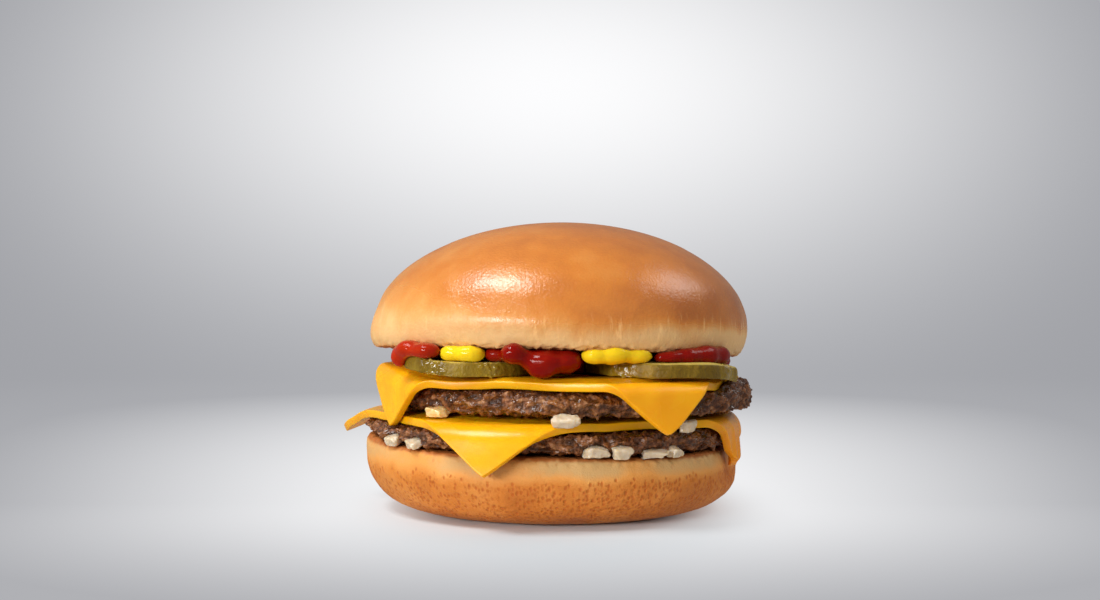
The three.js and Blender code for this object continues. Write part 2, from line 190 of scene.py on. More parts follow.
# Chopped onion: (azimuth, distance out, lift, length, depth, height, turn, pitch) and its kind.
ONION_ON_HEEL = [
    (-55, 48.3, -0.5, 4.4, 3.6, 2.6, 8, 16, "block"),
    (-44.6, 48.7, -0.4, 4.4, 3.4, 2.3, -14, 20, "shard"),
    (12.4, 48, -0.2, 5.8, 4.2, 2.5, 10, 9, "shard"),
    (19.8, 48.4, -0.4, 4.6, 3.6, 3, -6, 12, "block"),
    (30, 48.7, -0.3, 5.8, 3, 1.8, -22, 16, "flake"),
    (37.4, 48.7, -0.4, 4.2, 3.4, 2.2, 16, 18, "shard"),
    (93, 47.2, 0.1, 5, 4.2, 2.5, 12, 2, "block"),
    (121, 47.4, 0.1, 4.6, 4.4, 2.6, -18, 2, "shard"),
    (143, 47.3, 0.1, 5.4, 4, 2.4, 20, 2, "flake"),
    (-173, 47.4, 0.1, 4.8, 4.4, 2.6, 5, 2, "block"),
    (-148, 47.2, 0.1, 4.6, 4.2, 2.5, -10, 0, "shard"),
    (-128, 47.3, 0.1, 5.2, 4, 2.6, 15, 0, "block"),
]
ONION_ON_CHEESE = [
    (-38.8, 45.4, 0.3, 5.6, 4.4, 2.4, 4, 8, "shard"),
    (3.4, 50.3, -0.3, 6.2, 3.2, 2.6, -8, 30, "block"),
    (43, 48.6, -2.6, 4.2, 3, 2.9, 12, 6, "block"),
    (146, 46, 0.4, 5.2, 4.4, 2.4, 10, 4, "block"),
    (-152, 45.4, 0.4, 5, 4.2, 2.5, -12, 4, "shard"),
]

# ---- the stage, in metres -----------------------------------------------------------------

SHEET = {"width": 6, "depth": 3, "behind": 0.6, "curve": 0.35, "height": 2}
# The sheet glows in one patch on the wall and one along the floor, which gets wider towards the wall.
WALL_GLOW = {"sideways": 0.65, "middle": 0.254, "upwards": 0.33}
FLOOR_GLOW = {"sideways": 0.2, "widening": 0.45, "forwards": 0.18, "backwards": 0.63}
# Near the burger the floor takes the lamps' light and shadows instead of glowing.
LIT_FLOOR = {"sideways": 0.072, "lengthways": 0.14, "full_at": 0.7, "grey": (0.69, 0.745, 0.775)}
# A softbox: the way to it, its size, the setting that holds its power, and whether it leaves highlights.
SOFTBOXES = {
    "Top softbox": ((-0.46, -0.24, 0.86), (0.42, 0.27), "top_light", True),
    "Key softbox": ((-0.64, -0.74, 0.2), (0.5, 0.19), "key_light", True),
    "Fill softbox": ((0.5, -0.7, 0.5), (0.9, 0.6), "fill_light", False),
    "Side softbox": ((0.7, 0.14, 0.7), (0.45, 0.3), "side_light", True),
}
LAMPS = {"aim": (0, 0, 0.04), "distance": 0.9}
ROOM_TINT = (1, 0.98, 0.95, 1)
CAMERA = {"place": (-0.00068, -0.38, 0.055), "lens": 46, "sensor": 36}


# ---- settings -----------------------------------------------------------------------------


def millimetres(name, description, default):
    """A length, kept in metres as Blender's lengths are."""
    return FloatProperty(
        name=name,
        description=description,
        default=default / PER_METRE,
        min=0.0,
        max=0.02,
        precision=5,
        subtype="DISTANCE",
        unit="LENGTH",
    )


def power(name, description, default):
    return FloatProperty(
        name=name, description=description, default=default, min=0.0, subtype="POWER", unit="POWER"
    )


def colour(name, description, default):
    return FloatVectorProperty(
        name=name, description=description, default=default, min=0.0, max=1.0, size=3, subtype="COLOR"
    )


class BunSettings(bpy.types.PropertyGroup):
    """Crust and crumb of both halves of the bun"""

    crumb: colour("Crumb", "Cream of the band by the cut, where the halves joined", (0.80, 0.47, 0.18))
    gold: colour("Gold", "Lightly baked crust", (0.72, 0.31, 0.07))
    crust: colour("Crust", "Well baked crust", (0.60, 0.192, 0.024))
    brown: colour("Brown", "The darkest part of the crust", (0.36, 0.09, 0.014))
    toast: colour("Toasted face", "Cut faces, browned on the grill", (0.40, 0.11, 0.02))
    wrinkle: millimetres("Wrinkles", "Depth of the upright wrinkles in the pale band", 0.09)
    dimple: millimetres("Dimples", "Height of the crust's slow unevenness", 0.14)
    pit: millimetres("Pits", "Depth of the pits near the foot", 0.2)


class BeefSettings(bpy.types.PropertyGroup):
    """Two grilled patties"""

    meat: colour("Meat", "Cooked meat between the browned parts", (0.26, 0.092, 0.026))
    # The seared colour is also where painted shade takes the beef: at its right side and under the
    # cheese.
    seared: colour("Seared", "Browned granules", (0.088, 0.024, 0.006))
    # The crevice colour is painted shade down between the granules.
    crevice: colour("Crevice", "Down between the granules", (0.02, 0.0062, 0.0025))
    fat: colour("Fat", "Pale specks of fat and gristle", (0.45, 0.22, 0.09))
    granule: millimetres("Granule", "Size of a granule of mince", 1.7)
    relief: millimetres("Relief", "How far granules stand out of the rim", 0.6)


class CheeseSettings(bpy.types.PropertyGroup):
    """Two slices of melting processed cheese"""

    body: colour("Cheese", "Colour of the slices", (0.90, 0.425, 0.003))
    # Painted shade and light through the cheese: a more orange colour at a hanging corner.
    thin: colour("Thin", "Colour where a slice has melted thin", (0.86, 0.27, 0.012))
    edge: millimetres("Edge", "Rounding of the slices' edges", 0.85)
    sag: millimetres("Sag", "Slow unevenness of the melting surface", 0.28)


class PickleSettings(bpy.types.PropertyGroup):
    """Two slices of pickled cucumber"""

    skin: colour("Skin", "Dark stripes of the skin", (0.145, 0.082, 0.002))
    stripe: colour("Stripe", "Pale stripes of the skin", (0.32, 0.2, 0.01))
    flesh: colour("Flesh", "The cut faces and their edges", (0.54, 0.40, 0.08))


class SauceSettings(bpy.types.PropertyGroup):
    """Ketchup and mustard"""

    ketchup: colour("Ketchup", "Colour of the ketchup", (0.21, 0.003, 0.0006))
    # Lighter, more orange ketchup towards the left: painted light where it is thin and lit.
    thin_ketchup: colour("Thin ketchup", "Colour of the ketchup where it is thin", (0.41, 0.022, 0.003))
    mustard: colour("Mustard", "Colour of the mustard", (0.84, 0.57, 0.012))


class OnionSettings(bpy.types.PropertyGroup):
    """Chopped onion"""

    flesh: colour("Flesh", "Colour of the onion", (0.60, 0.49, 0.35))
    vein: colour("Vein", "Colour of its veins", (0.54, 0.42, 0.25))
    # The glazed colour is cheese run over a piece, and painted light from the cheese showing through it.
    glazed: colour("Glazed", "Colour of a piece that melted cheese has run over", (0.80, 0.56, 0.25))


class StageSettings(bpy.types.PropertyGroup):
    """Floor, backdrop, lights and camera"""

    bright: colour("Bright", "The backdrop behind the burger and the floor under it", (0.98, 0.98, 0.99))
    dim: colour("Dim", "The backdrop away from the middle", (0.36, 0.365, 0.39))
    top_light: power("Top light", "Softbox overhead", 5.6)
    key_light: power("Key light", "Wide softbox at the left", 5.8)
    fill_light: power("Fill light", "Weak softbox in front, at the right", 1.2)
    side_light: power("Side light", "Softbox at the right", 1.3)
    room: FloatProperty(
        name="Room", description="Brightness of the light from all round", default=0.25, min=0.0
    )


SETTINGS = {
    "burger_bun": BunSettings,
    "burger_beef": BeefSettings,
    "burger_cheese": CheeseSettings,
    "burger_pickle": PickleSettings,
    "burger_sauce": SauceSettings,
    "burger_onion": OnionSettings,
    "burger_stage": StageSettings,
}

# ---- noise --------------------------------------------------------------------------------

# The published order of improved noise, so that the pieces are uneven in the way that the solids are.
SHUFFLE = np.array(
    [151, 160, 137, 91, 90, 15, 131, 13, 201, 95, 96, 53, 194, 233, 7, 225, 140, 36, 103, 30, 69, 142,
     8, 99, 37, 240, 21, 10, 23, 190, 6, 148, 247, 120, 234, 75, 0, 26, 197, 62, 94, 252, 219, 203,
     117, 35, 11, 32, 57, 177, 33, 88, 237, 149, 56, 87, 174, 20, 125, 136, 171, 168, 68, 175, 74, 165,
     71, 134, 139, 48, 27, 166, 77, 146, 158, 231, 83, 111, 229, 122, 60, 211, 133, 230, 220, 105, 92,
     41, 55, 46, 245, 40, 244, 102, 143, 54, 65, 25, 63, 161, 1, 216, 80, 73, 209, 76, 132, 187, 208,
     89, 18, 169, 200, 196, 135, 130, 116, 188, 159, 86, 164, 100, 109, 198, 173, 186, 3, 64, 52, 217,
     226, 250, 124, 123, 5, 202, 38, 147, 118, 126, 255, 82, 85, 212, 207, 206, 59, 227, 47, 16, 58,
     17, 182, 189, 28, 42, 223, 183, 170, 213, 119, 248, 152, 2, 44, 154, 163, 70, 221, 153, 101, 155,
     167, 43, 172, 9, 129, 22, 39, 253, 19, 98, 108, 110, 79, 113, 224, 232, 178, 185, 112, 104, 218,
     246, 97, 228, 251, 34, 242, 193, 238, 210, 144, 12, 191, 179, 162, 241, 81, 51, 145, 235, 249,
     14, 239, 107, 49, 192, 214, 31, 181, 199, 106, 157, 184, 84, 204, 176, 115, 121, 50, 45, 127, 4,
     150, 254, 138, 236, 205, 93, 222, 114, 67, 29, 24, 72, 243, 141, 128, 195, 78, 66, 215, 61, 156,
     180] * 2
)  # fmt: skip


def noise(x, y, z):
    """Smooth noise between about -1 and 1, with one feature to a unit."""
    x, y, z = np.broadcast_arrays(*(np.asarray(value, float) for value in (x, y, z)))
    cells = [np.floor(value).astype(int) for value in (x, y, z)]
    x, y, z = (value - cell for value, cell in zip((x, y, z), cells))
    column, row, layer = (cell & 255 for cell in cells)
    u, v, w = (t**3 * (t * (t * 6 - 15) + 10) for t in (x, y, z))

    def slope(di, dj, dk):
        hashed = SHUFFLE[SHUFFLE[SHUFFLE[column + di] + row + dj] + layer + dk] & 15
        a = np.where(hashed < 8, x - di, y - dj)
        b = np.where(hashed < 4, y - dj, np.where((hashed == 12) | (hashed == 14), x - di, z - dk))
        return np.where(hashed & 1, -a, a) + np.where(hashed & 2, -b, b)

    def along_x(dj, dk):
        return slope(0, dj, dk) * (1 - u) + slope(1, dj, dk) * u

    near = along_x(0, 0) * (1 - v) + along_x(1, 0) * v
    far = along_x(0, 1) * (1 - v) + along_x(1, 1) * v
    return near * (1 - w) + far * w


def layered(x, y, z, octaves=3):
    """Noise with finer noise on top of it."""
    return sum(noise(x * 2**i, y * 2**i, z * 2**i + 7.3 * i) / 2**i for i in range(octaves))


def uneven(where, size, shift=0, octaves=1):
    """Noise with features of so many millimetres; a shift gives each use a pattern of its own."""
    x, y, z = where
    return layered(x / size, y / size, z / size + shift, octaves)


def scattered(x, y, z):
    """Points scattered one to a unit cube: how far the nearest and the next are, a random share for the
    nearest, and how deep in the points' soft round clouds a place is."""
    cells = [np.floor(value).astype(int) for value in (x, y, z)]
    first = np.full(x.shape, 9.0)
    second = first.copy()
    drawn = np.zeros_like(first)
    cloud = np.zeros_like(first)
    for step in np.ndindex(3, 3, 3):
        i, j, k = (cell + offset - 1 for cell, offset in zip(cells, step))
        hashed = SHUFFLE[SHUFFLE[SHUFFLE[i & 255] + (j & 255)] + (k & 255)]
        spot = [SHUFFLE[hashed + salt] / 255 for salt in (31, 97, 163)]
        away = np.sqrt((i + spot[0] - x) ** 2 + (j + spot[1] - y) ** 2 + (k + spot[2] - z) ** 2)
        cloud += np.exp(-((away / 0.45) ** 2))
        nearer = away < first
        second = np.where(nearer, first, np.minimum(second, away))
        drawn = np.where(nearer, SHUFFLE[hashed + 211] / 255, drawn)
        first = np.where(nearer, away, first)
    return first, second, drawn, cloud


# ---- measures shared by the pieces --------------------------------------------------------


def rises(value, low, high):
    """From 0 at low smoothly to 1 at high."""
    t = np.clip((value - low) / (high - low), 0, 1)
    return t * t * (3 - 2 * t)


def falls(value, low, high):
    return 1 - rises(value, low, high)


def azimuth_of(x, y):
    return np.degrees(np.arctan2(x, -y))


def outwards(azimuth):
    return np.array([math.sin(math.radians(azimuth)), -math.cos(math.radians(azimuth))])


def turned(a, b, degrees):
    """Two coordinates turned about the third axis."""
    angle = math.radians(degrees)
    return a * math.cos(angle) - b * math.sin(angle), a * math.sin(angle) + b * math.cos(angle)


def bump_at(bump, azimuth):
    turn = (azimuth - bump[0] + 180) % 360 - 180
    return bump[2] * np.exp(-((turn / bump[1]) ** 2))


def heel_rise(x, y):
    curl = bump_at(HEEL["curl"], azimuth_of(x, y)) * rises(np.hypot(x, y), 36, 50)
    return HEEL["slant"] * x + curl


def lopsided(x, y, z, seed):
    """How far a bun's half is from round, as a share of its radius."""
    return 0.012 * noise(x / 30 + seed, y / 30, z / 30)


def patty_top(patty, x, y):
    out = np.hypot(x - patty["centre"][0], y - patty["centre"][1])
    depth, start, end = patty["sag"]
    return patty["top"] + patty["slope"] * x - depth * rises(out, start, end)


def under_lower(x, y):
    return HEEL["height"] + heel_rise(x, y) + LAYER_GAP


def over_lower_slice(x, y):
    return patty_top(LOWER_PATTY, x, y) + SLICE["thickness"] + LAYER_GAP


def under_upper(x, y):
    return over_lower_slice(x, y) + LAYER_GAP + PATTY["stiffness"] * rises(np.hypot(x, y), 34, 47)


def arc(centre_r, centre_z, radius_r, radius_z, start, end, steps):
    """Points of an elliptical arc, in degrees from the +r direction, without its first point."""
    angles = np.radians([start + (end - start) * (i + 1) / steps for i in range(steps)])
    return [(centre_r + radius_r * math.cos(a), centre_z + radius_z * math.sin(a)) for a in angles]


# ---- modelling ----------------------------------------------------------------------------


def added(name, add, **options):
    """A new primitive, alone in the selection."""
    bpy.ops.object.select_all(action="DESELECT")
    add(**options)
    piece = bpy.context.active_object
    piece.name = piece.data.name = name
    return piece


def pick(piece):
    """Leaves one piece selected and active."""
    bpy.ops.object.select_all(action="DESELECT")
    bpy.context.view_layer.objects.active = piece
    piece.select_set(True)


def edit(piece):
    pick(piece)
    bpy.ops.object.mode_set(mode="EDIT")
    bpy.ops.mesh.select_all(action="SELECT")


def leave_edit():
    bpy.ops.object.mode_set(mode="OBJECT")


def applied(piece, kind, **options):
    """Adds a modifier, sets it and applies it."""
    pick(piece)
    bpy.ops.object.modifier_add(type=kind)
    modifier = piece.modifiers[-1]
    for key, value in options.items():
        setattr(modifier, key, value)
    bpy.ops.object.modifier_apply(modifier=modifier.name)


def subdivided(piece):
    applied(piece, "SUBSURF", levels=2, render_levels=2)


def rounded(piece, width, segments):
    """Bevels the piece's sharp edges."""
    sharp = {"limit_method": "ANGLE", "angle_limit": math.radians(50)}
    applied(piece, "BEVEL", width=width, segments=segments, **sharp)


def spun(name, profile, steps):
    """The profile, (r, z) points from near the axis at the bottom to near it at the top, spun about Z and
    smoothed. The small rings left at its two ends are then drawn together."""
    piece = added(name, bpy.ops.mesh.primitive_plane_add, size=0.01)
    edit(piece)
    bpy.ops.mesh.merge(type="CENTER")
    points = [(r / PER_METRE, z / PER_METRE) for r, z in profile]
    bpy.ops.transform.translate(value=(points[0][0], 0, points[0][1]))
    for (r, z), (next_r, next_z) in zip(points, points[1:]):
        step = {"value": (next_r - r, 0, next_z - z)}
        bpy.ops.mesh.extrude_vertices_move(TRANSFORM_OT_translate=step)
    leave_edit()
    joined = {"use_merge_vertices": True, "merge_threshold": 1e-6}
    applied(piece, "SCREW", steps=steps, render_steps=steps, **joined)
    subdivided(piece)
    edit(piece)
    bpy.ops.mesh.select_mode(type="VERT")
    bpy.ops.mesh.select_all(action="DESELECT")
    bpy.ops.mesh.select_non_manifold()
    bpy.ops.mesh.merge(type="COLLAPSE")
    bpy.ops.mesh.select_all(action="SELECT")
    bpy.ops.mesh.normals_make_consistent(inside=False)
    leave_edit()
    return piece


def copied(mesh, name):
    """A piece with a copy of the mesh as its own."""
    piece = bpy.data.objects.new(name, mesh.copy())
    piece.data.name = name
    bpy.context.scene.collection.objects.link(piece)
    return piece


def points_of(piece):
    """The piece's vertices in millimetres, as three rows."""
    values = np.empty(len(piece.data.vertices) * 3)
    piece.data.vertices.foreach_get("co", values)
    return values.reshape(-1, 3).T * PER_METRE


def move_points(piece, x, y, z):
    piece.data.vertices.foreach_set("co", np.stack([x, y, z], axis=1).ravel() / PER_METRE)
    piece.data.update()


def swell(piece, amounts):
    """Moves every vertex out along its normal, in millimetres."""
    normals = np.empty(len(piece.data.vertices) * 3, np.float32)
    piece.data.vertex_normals.foreach_get("vector", normals)
    move_points(piece, *(points_of(piece) + normals.reshape(-1, 3).T * amounts))


def paint(piece, name, values):
    """Keeps one number for each vertex, for the materials."""
    attribute = piece.data.attributes.new(name, "FLOAT", "POINT")
    attribute.data.foreach_set("value", np.full(len(attribute.data), values, np.float32))


def finish(piece, material, slot, *nodes):
    """Smooth shading, the finish, and the plain solids that the piece stands for."""
    pick(piece)
    bpy.ops.object.shade_smooth()
    piece.data.materials.clear()
    piece.data.materials.append(material)
    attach(piece, "root")
    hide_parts(*nodes)
    return piece


# ---- material nodes -----------------------------------------------------------------------


def feed(tree, sockets, values):
    """Joins or sets sockets by name or number; an underscore in a name stands for a space."""
    for key, value in values.items():
        socket = sockets[key.replace("_", " ") if isinstance(key, str) else key]
        if isinstance(value, bpy.types.NodeSocket):
            tree.links.new(value, socket)
        else:
            socket.default_value = value


def node(tree, kind, inputs, **settings):
    """Adds a node, sets it, and joins or sets its inputs."""
    made = tree.nodes.new("ShaderNode" + kind)
    for key, value in settings.items():
        setattr(made, key, value)
    feed(tree, made.inputs, inputs)
    return made


def place(tree, scale=(1, 1, 1)):
    """Object coordinates in millimetres, stretched by 1/scale."""
    metres = node(tree, "TexCoord", {}).outputs["Object"]
    sizes = [PER_METRE * value for value in scale]
    return node(tree, "Mapping", {"Vector": metres, "Scale": sizes}).outputs[0]


def grain(tree, vector, scale, detail=2.0, roughness=0.5):
    """Noise from 0 to 1; scale is the number of features to a millimetre."""
    inputs = {"Vector": vector, "Scale": scale, "Detail": detail, "Roughness": roughness}
    return node(tree, "TexNoise", inputs).outputs[0]


def spread(tree, value, low, high, to_low=0.0, to_high=1.0):
    """The value stretched from one range to another, smoothly and clamped."""
    inputs = {"Value": value, "From Min": low, "From Max": high, "To Min": to_low, "To Max": to_high}
    return node(tree, "MapRange", inputs, interpolation_type="SMOOTHSTEP").outputs[0]


def maths(tree, operation, a, b=0.0):
    return node(tree, "Math", {0: a, 1: b}, operation=operation).outputs[0]


def plus(tree, a, b):
    return maths(tree, "ADD", a, b)


def times(tree, a, b):
    return maths(tree, "MULTIPLY", a, b)


def over(tree, a, b):
    return maths(tree, "DIVIDE", a, b)


def blended(tree, factor, a, b, how="MIX"):
    """One colour over another."""
    inputs = {0: factor, 6: opaque(a), 7: opaque(b)}
    return node(tree, "Mix", inputs, data_type="RGBA", blend_type=how).outputs[2]


def opaque(value):
    return value if isinstance(value, bpy.types.NodeSocket) else (*value, 1)


def tinted(colour, *shares):
    """A colour whose red, green and blue are each cut down or raised."""
    return tuple(min(1, value * share) for value, share in zip(colour, shares))


def ramp(tree, factor, *stops):
    """Colours by position."""
    made = node(tree, "ValToRGB", {"Fac": factor})
    elements = made.color_ramp.elements
    while len(elements) < len(stops):
        elements.new(0.5)
    for element, (position, value) in zip(elements, stops):
        element.position = position
        element.color = (*value, 1)
    return made.outputs[0]


def painted(tree, name):
    return node(tree, "Attribute", {}, attribute_name=name).outputs["Fac"]


def relief(tree, height, depth, before=None):
    """A bump of so many millimetres."""
    inputs = {"Height": height, "Distance": depth / PER_METRE}
    if before:
        inputs["Normal"] = before
    return node(tree, "Bump", inputs).outputs[0]


def new_material(name, **surface):
    """A material and its nodes; even values are set on the surface shader's own sockets."""
    material = bpy.data.materials.new(name)
    material.use_nodes = True
    return surfaced(material, **surface), material.node_tree


def surfaced(material, **surface):
    """Joins or sets the sockets of the material's surface shader."""
    tree = material.node_tree
    feed(tree, tree.nodes["Principled BSDF"].inputs, surface)
    return material


def food(name, share, reach, depth, gloss, **surface):
    """A material that takes in a share of the light, down to a depth in millimetres, and its nodes. The
    reach is how far red, green and blue get against each other."""
    return new_material(
        name,
        Subsurface_Weight=share,
        Subsurface_Radius=reach,
        Subsurface_Scale=depth / PER_METRE,
        Specular_IOR_Level=gloss,
        **surface,
    )


def new_group(name, inputs, outputs):
    """A shader node group of plain values: its tree, its inputs, and the sockets that it puts out."""
    tree = bpy.data.node_groups.new(name, "ShaderNodeTree")
    number = "NodeSocketFloat"
    for socket, default in inputs.items():
        made = tree.interface.new_socket(name=socket, in_out="INPUT", socket_type=number)
        made.default_value = default
    for socket in outputs:
        tree.interface.new_socket(name=socket, in_out="OUTPUT", socket_type=number)
    return tree, tree.nodes.new("NodeGroupInput").outputs, tree.nodes.new("NodeGroupOutput").inputs


def grouped(tree, name, **values):
    """One of the shared effects, built at its first use and placed in a material."""
    made = tree.nodes.new("ShaderNodeGroup")
    made.node_tree = bpy.data.node_groups.get(name) or SHARED[name](name)
    feed(tree, made.inputs, values)
    return made.outputs


def baked_skin(name):
    """Mottling, pores, fine wrinkles and crackle of baked dough."""
    outputs = ("Mottle", "Height", "Streak", "Crackle")
    tree, given, out = new_group(name, {"Pore size": 0.6, "Wrinkle size": 1.4}, outputs)
    spot = place(tree)
    per_pore = over(tree, 1.0, given["Pore size"])
    per_wrinkle = over(tree, 1.0, given["Wrinkle size"])
    fine = grain(tree, spot, per_pore, 3, 0.6)
    mottle = plus(tree, grain(tree, spot, 0.09, 3), times(tree, fine, 0.3))
    streak = grain(tree, place(tree, (1, 1, 0.12)), per_wrinkle, 3, 0.6)
    cells = node(tree, "TexVoronoi", {"Vector": spot, "Scale": times(tree, per_pore, 0.6)})
    crackle = maths(tree, "SUBTRACT", 1.0, cells.outputs["Distance"])
    feed(tree, out, dict(zip(outputs, (mottle, fine, streak, crackle))))
    return tree


def wet_film(name):
    """Where a wet surface is smooth and where it is broken up, and how bumpy it is."""
    tree, given, out = new_group(name, {"Patch size": 3.0}, ("Film", "Height"))
    spot = place(tree)
    patches = grain(tree, spot, over(tree, 1.0, given["Patch size"]), 2)
    film = spread(tree, patches, 0.35, 0.65)
    feed(tree, out, {"Film": film, "Height": grain(tree, spot, 0.9, 3, 0.55)})
    return tree


SHARED = {"Baked skin": baked_skin, "Wet film": wet_film}

# ---- bun ----------------------------------------------------------------------------------


def crust_colours(tree, bake, bun, crumb_share=1.0):
    crumb = tinted(bun.crumb, crumb_share, crumb_share, crumb_share)
    return ramp(tree, bake, (0.0, crumb), (0.3, bun.gold), (0.62, bun.crust), (1.0, bun.brown))


def crown_crust(bun):
    """Glazed, golden brown, paler and wrinkled near the cut, toasted on the cut face."""
    material, tree = food("Glazed crust", share=0.1, reach=(1.0, 0.4, 0.15), depth=2.5, gloss=0.8)
    skin = grouped(tree, "Baked skin", Pore_size=0.5, Wrinkle_size=1.1)
    bake, streaky = painted(tree, "bake"), painted(tree, "streaky")
    mottled = plus(tree, bake, spread(tree, skin["Mottle"], 0.4, 0.9, -0.1, 0.1))
    crust = crust_colours(tree, mottled, bun)
    streaks = times(tree, streaky, spread(tree, skin["Streak"], 0.54, 0.68))
    streaked = blended(tree, streaks, crust, tinted(bun.crumb, 1.25, 1.25, 1.25))
    glaze = relief(tree, skin["Height"], 0.06, relief(tree, skin["Crackle"], 0.042))
    return surfaced(
        material,
        Base_Color=blended(tree, painted(tree, "cut"), streaked, bun.toast),
        Roughness=spread(tree, bake, 0.05, 0.5, 0.6, 0.26),
        Normal=relief(tree, times(tree, skin["Streak"], streaky), 0.22, glaze),
    )


def heel_crust(bun):
    """Matt and tan, pitted towards the foot with painted shade in the pits, cream by the cut, toasted on
    the cut face.
    """
    material, tree = food("Heel crust", share=0.12, reach=(1.0, 0.45, 0.2), depth=2.5, gloss=0.25)
    skin = grouped(tree, "Baked skin", Pore_size=0.45, Wrinkle_size=1.3)
    porous = painted(tree, "porous")
    mottled = plus(tree, painted(tree, "bake"), spread(tree, skin["Mottle"], 0.4, 0.9, -0.13, 0.13))
    crust = crust_colours(tree, mottled, bun, 0.73)
    # Small pits, one to a cell where the crust is porous enough for that cell, painted darker and redder
    # inside as painted shade.
    cells = node(tree, "TexVoronoi", {"Vector": place(tree, (1.2, 1.2, 0.8)), "Scale": 0.95}).outputs
    drawn = node(tree, "SeparateColor", {"Color": cells["Color"]}).outputs[0]
    present = spread(tree, maths(tree, "SUBTRACT", porous, drawn), -0.06, 0.1)
    hole = times(tree, present, spread(tree, cells["Distance"], 0.14, 0.66, 1.0, 0.0))
    dark = maths(tree, "MAXIMUM", painted(tree, "pit"), times(tree, hole, 0.8))
    pitted = blended(tree, dark, crust, tinted(bun.crust, 0.76, 0.5, 0.28))
    folds = times(tree, grain(tree, place(tree), 0.75, 2, 0.5), porous)
    leathery = relief(tree, folds, 0.42, relief(tree, skin["Height"], 0.14))
    return surfaced(
        material,
        Base_Color=blended(tree, painted(tree, "cut"), pitted, bun.toast),
        Roughness=spread(tree, skin["Mottle"], 0.4, 0.9, 0.62, 0.5),
        Normal=relief(tree, times(tree, hole, -1.0), 0.16, leathery),
    )


def crown_relief(bun, where, azimuth, band_top, side):
    """Wrinkles in the pale band, dimples all over, and a crumbly edge round the cut face."""
    x, y, z = where
    band = falls(z, band_top - 1.5, band_top + 4) * side
    wrinkles = uneven((x, y, z * 0.16), 1.7, 0, 2) * bun.wrinkle * PER_METRE * band * rises(z, 0.3, 2)
    dimples = uneven(where, 7, 2.2, 3) * bun.dimple * PER_METRE * side
    crumbs = np.abs(uneven(where, 2.2, 0, 3)) * 0.7 * falls(z, 0.2, 1.3)
    crumbs += 0.4 * uneven(where, 1.3, 4, 2) * side * falls(z, 0.3, 2.4)
    at_cheek = np.exp(-(((z - CROWN["cheek_height"]) / 2.5) ** 2)) * side
    swelling = at_cheek * bump_at(CROWN["swell"], azimuth)
    return wrinkles + dimples * (0.35 + 0.65 * rises(z, 2, 10)) - crumbs + swelling


def crown_bake(where, azimuth, band_top):
    """How well baked the crust is: pale in the band and darker on top. Paler at the left and darker
    towards the right is painted light and shade.
    """
    x, y, z = where
    # Painted light and shade: the crust paler at the left and darker towards the right.
    to_right = x / BUN_RADIUS
    at_left = rises(-to_right, 0.2, 0.95)
    baked_from = band_top - 3.2 + 1.6 * to_right - 3 * at_left
    baked_at = band_top + 3.2 - 1.2 * to_right + 9 * at_left
    bake = 0.52 * rises(z + 1.1 * uneven((x, y, z / 2), 4.5, 6, 2), baked_from, baked_at)
    bake += 0.07 * rises(z, 12, 33) + (0.13 * to_right + 0.08) * rises(z, 4, 16)
    bake += bump_at(CROWN["well_baked"], azimuth) * rises(z, 6, 9.5) * falls(z, 12, 20)
    bake += 0.07 * uneven(where, 16, 5) + 0.035 * uneven(where, 5)
    return np.clip(bake, 0, 1)


def make_crown(bun):
    size = CROWN
    cut, cheek, height = size["cut_radius"], size["cheek_height"], size["height"]
    profile = [(r, 0) for r in (0.5, 12, 24, 34, 41, 44.5, cut)]
    profile += arc(cut, cheek, BUN_RADIUS - cut, cheek, -90, 0, 7)
    profile += arc(0, cheek, BUN_RADIUS, height - cheek, 0, 84, 15)
    profile += [(0.4, height)]
    crown = spun("crown", profile, 150)
    x, y, z = points_of(crown)
    out = np.hypot(x, y)
    dome = cheek + (height - cheek) * np.sqrt(np.clip(1 - (out / BUN_RADIUS) ** 2, 0, 1))
    z = np.where(z > height * 0.8, dome, z)
    azimuth = azimuth_of(x, y)
    full = bump_at(size["jowl"], azimuth) * rises(out, 30, cut)
    swollen = 1 + lopsided(x, y, z, 7.9) + full * falls(z, 0, 12) / BUN_RADIUS
    shift = size["top_shift"] * np.clip(z / height, 0, None) ** 1.5
    move_points(crown, x * swollen + shift, y * swollen, z)

    side = rises(out, cut - 2, cut + 0.5)
    band_top = size["band_top"] + 1.1 * uneven((x, y, 0), 14, 3.3)
    for bump in size["band_bumps"]:
        band_top += bump_at(bump, azimuth)
    swell(crown, crown_relief(bun, (x, y, z), azimuth, band_top, side))
    # The bake also holds painted light and shade at the left and right.
    paint(crown, "bake", crown_bake((x, y, z), azimuth, band_top))
    paint(crown, "streaky", side * falls(z, band_top, band_top + 5) * (0.2 + 0.45 * rises(x, -25, 30)))
    paint(crown, "cut", falls(z, 0.12, 0.8) * falls(out, cut - 0.2, cut + 1))

    x, y, z = points_of(crown)
    x, z = turned(x, z, -size["lean_right"])
    y, z = turned(y, z, -size["lean_back"])
    centre = size["centre"]
    move_points(crown, x + centre[0], y + centre[1], z + centre[2])
    return finish(crown, crown_crust(bun), "crust", "bun_crown")


def heel_pores(where, side):
    """How porous the crust is, most on the right, and the pits that lie scattered there."""
    x, y, z = where
    low = falls(z + 1.6 * uneven((x, y, 0), 12, 1.1), *HEEL["pored_up_to"])
    warp = 0.5 * uneven(where, 1.5)
    across, upwards = HEEL["pore_spacing"]
    nearest, _, drawn, _ = scattered((x + warp) / across, (y - warp) / across, (z + warp) / upwards)
    reach = 0.2 + 0.26 * (drawn * 7.3 % 1)
    dense = rises(x / BUN_RADIUS - 0.03 * (z - 4), -0.5, 0.9)
    sparse = 0.86 - 0.2 * dense
    pits = falls(nearest, reach * 0.4, reach * 1.2) * rises(drawn, sparse - 0.05, sparse + 0.05)
    porous = low * side * (0.58 + 0.5 * dense + 0.25 * uneven(where, 7, 8))
    return porous, pits * (low * side)


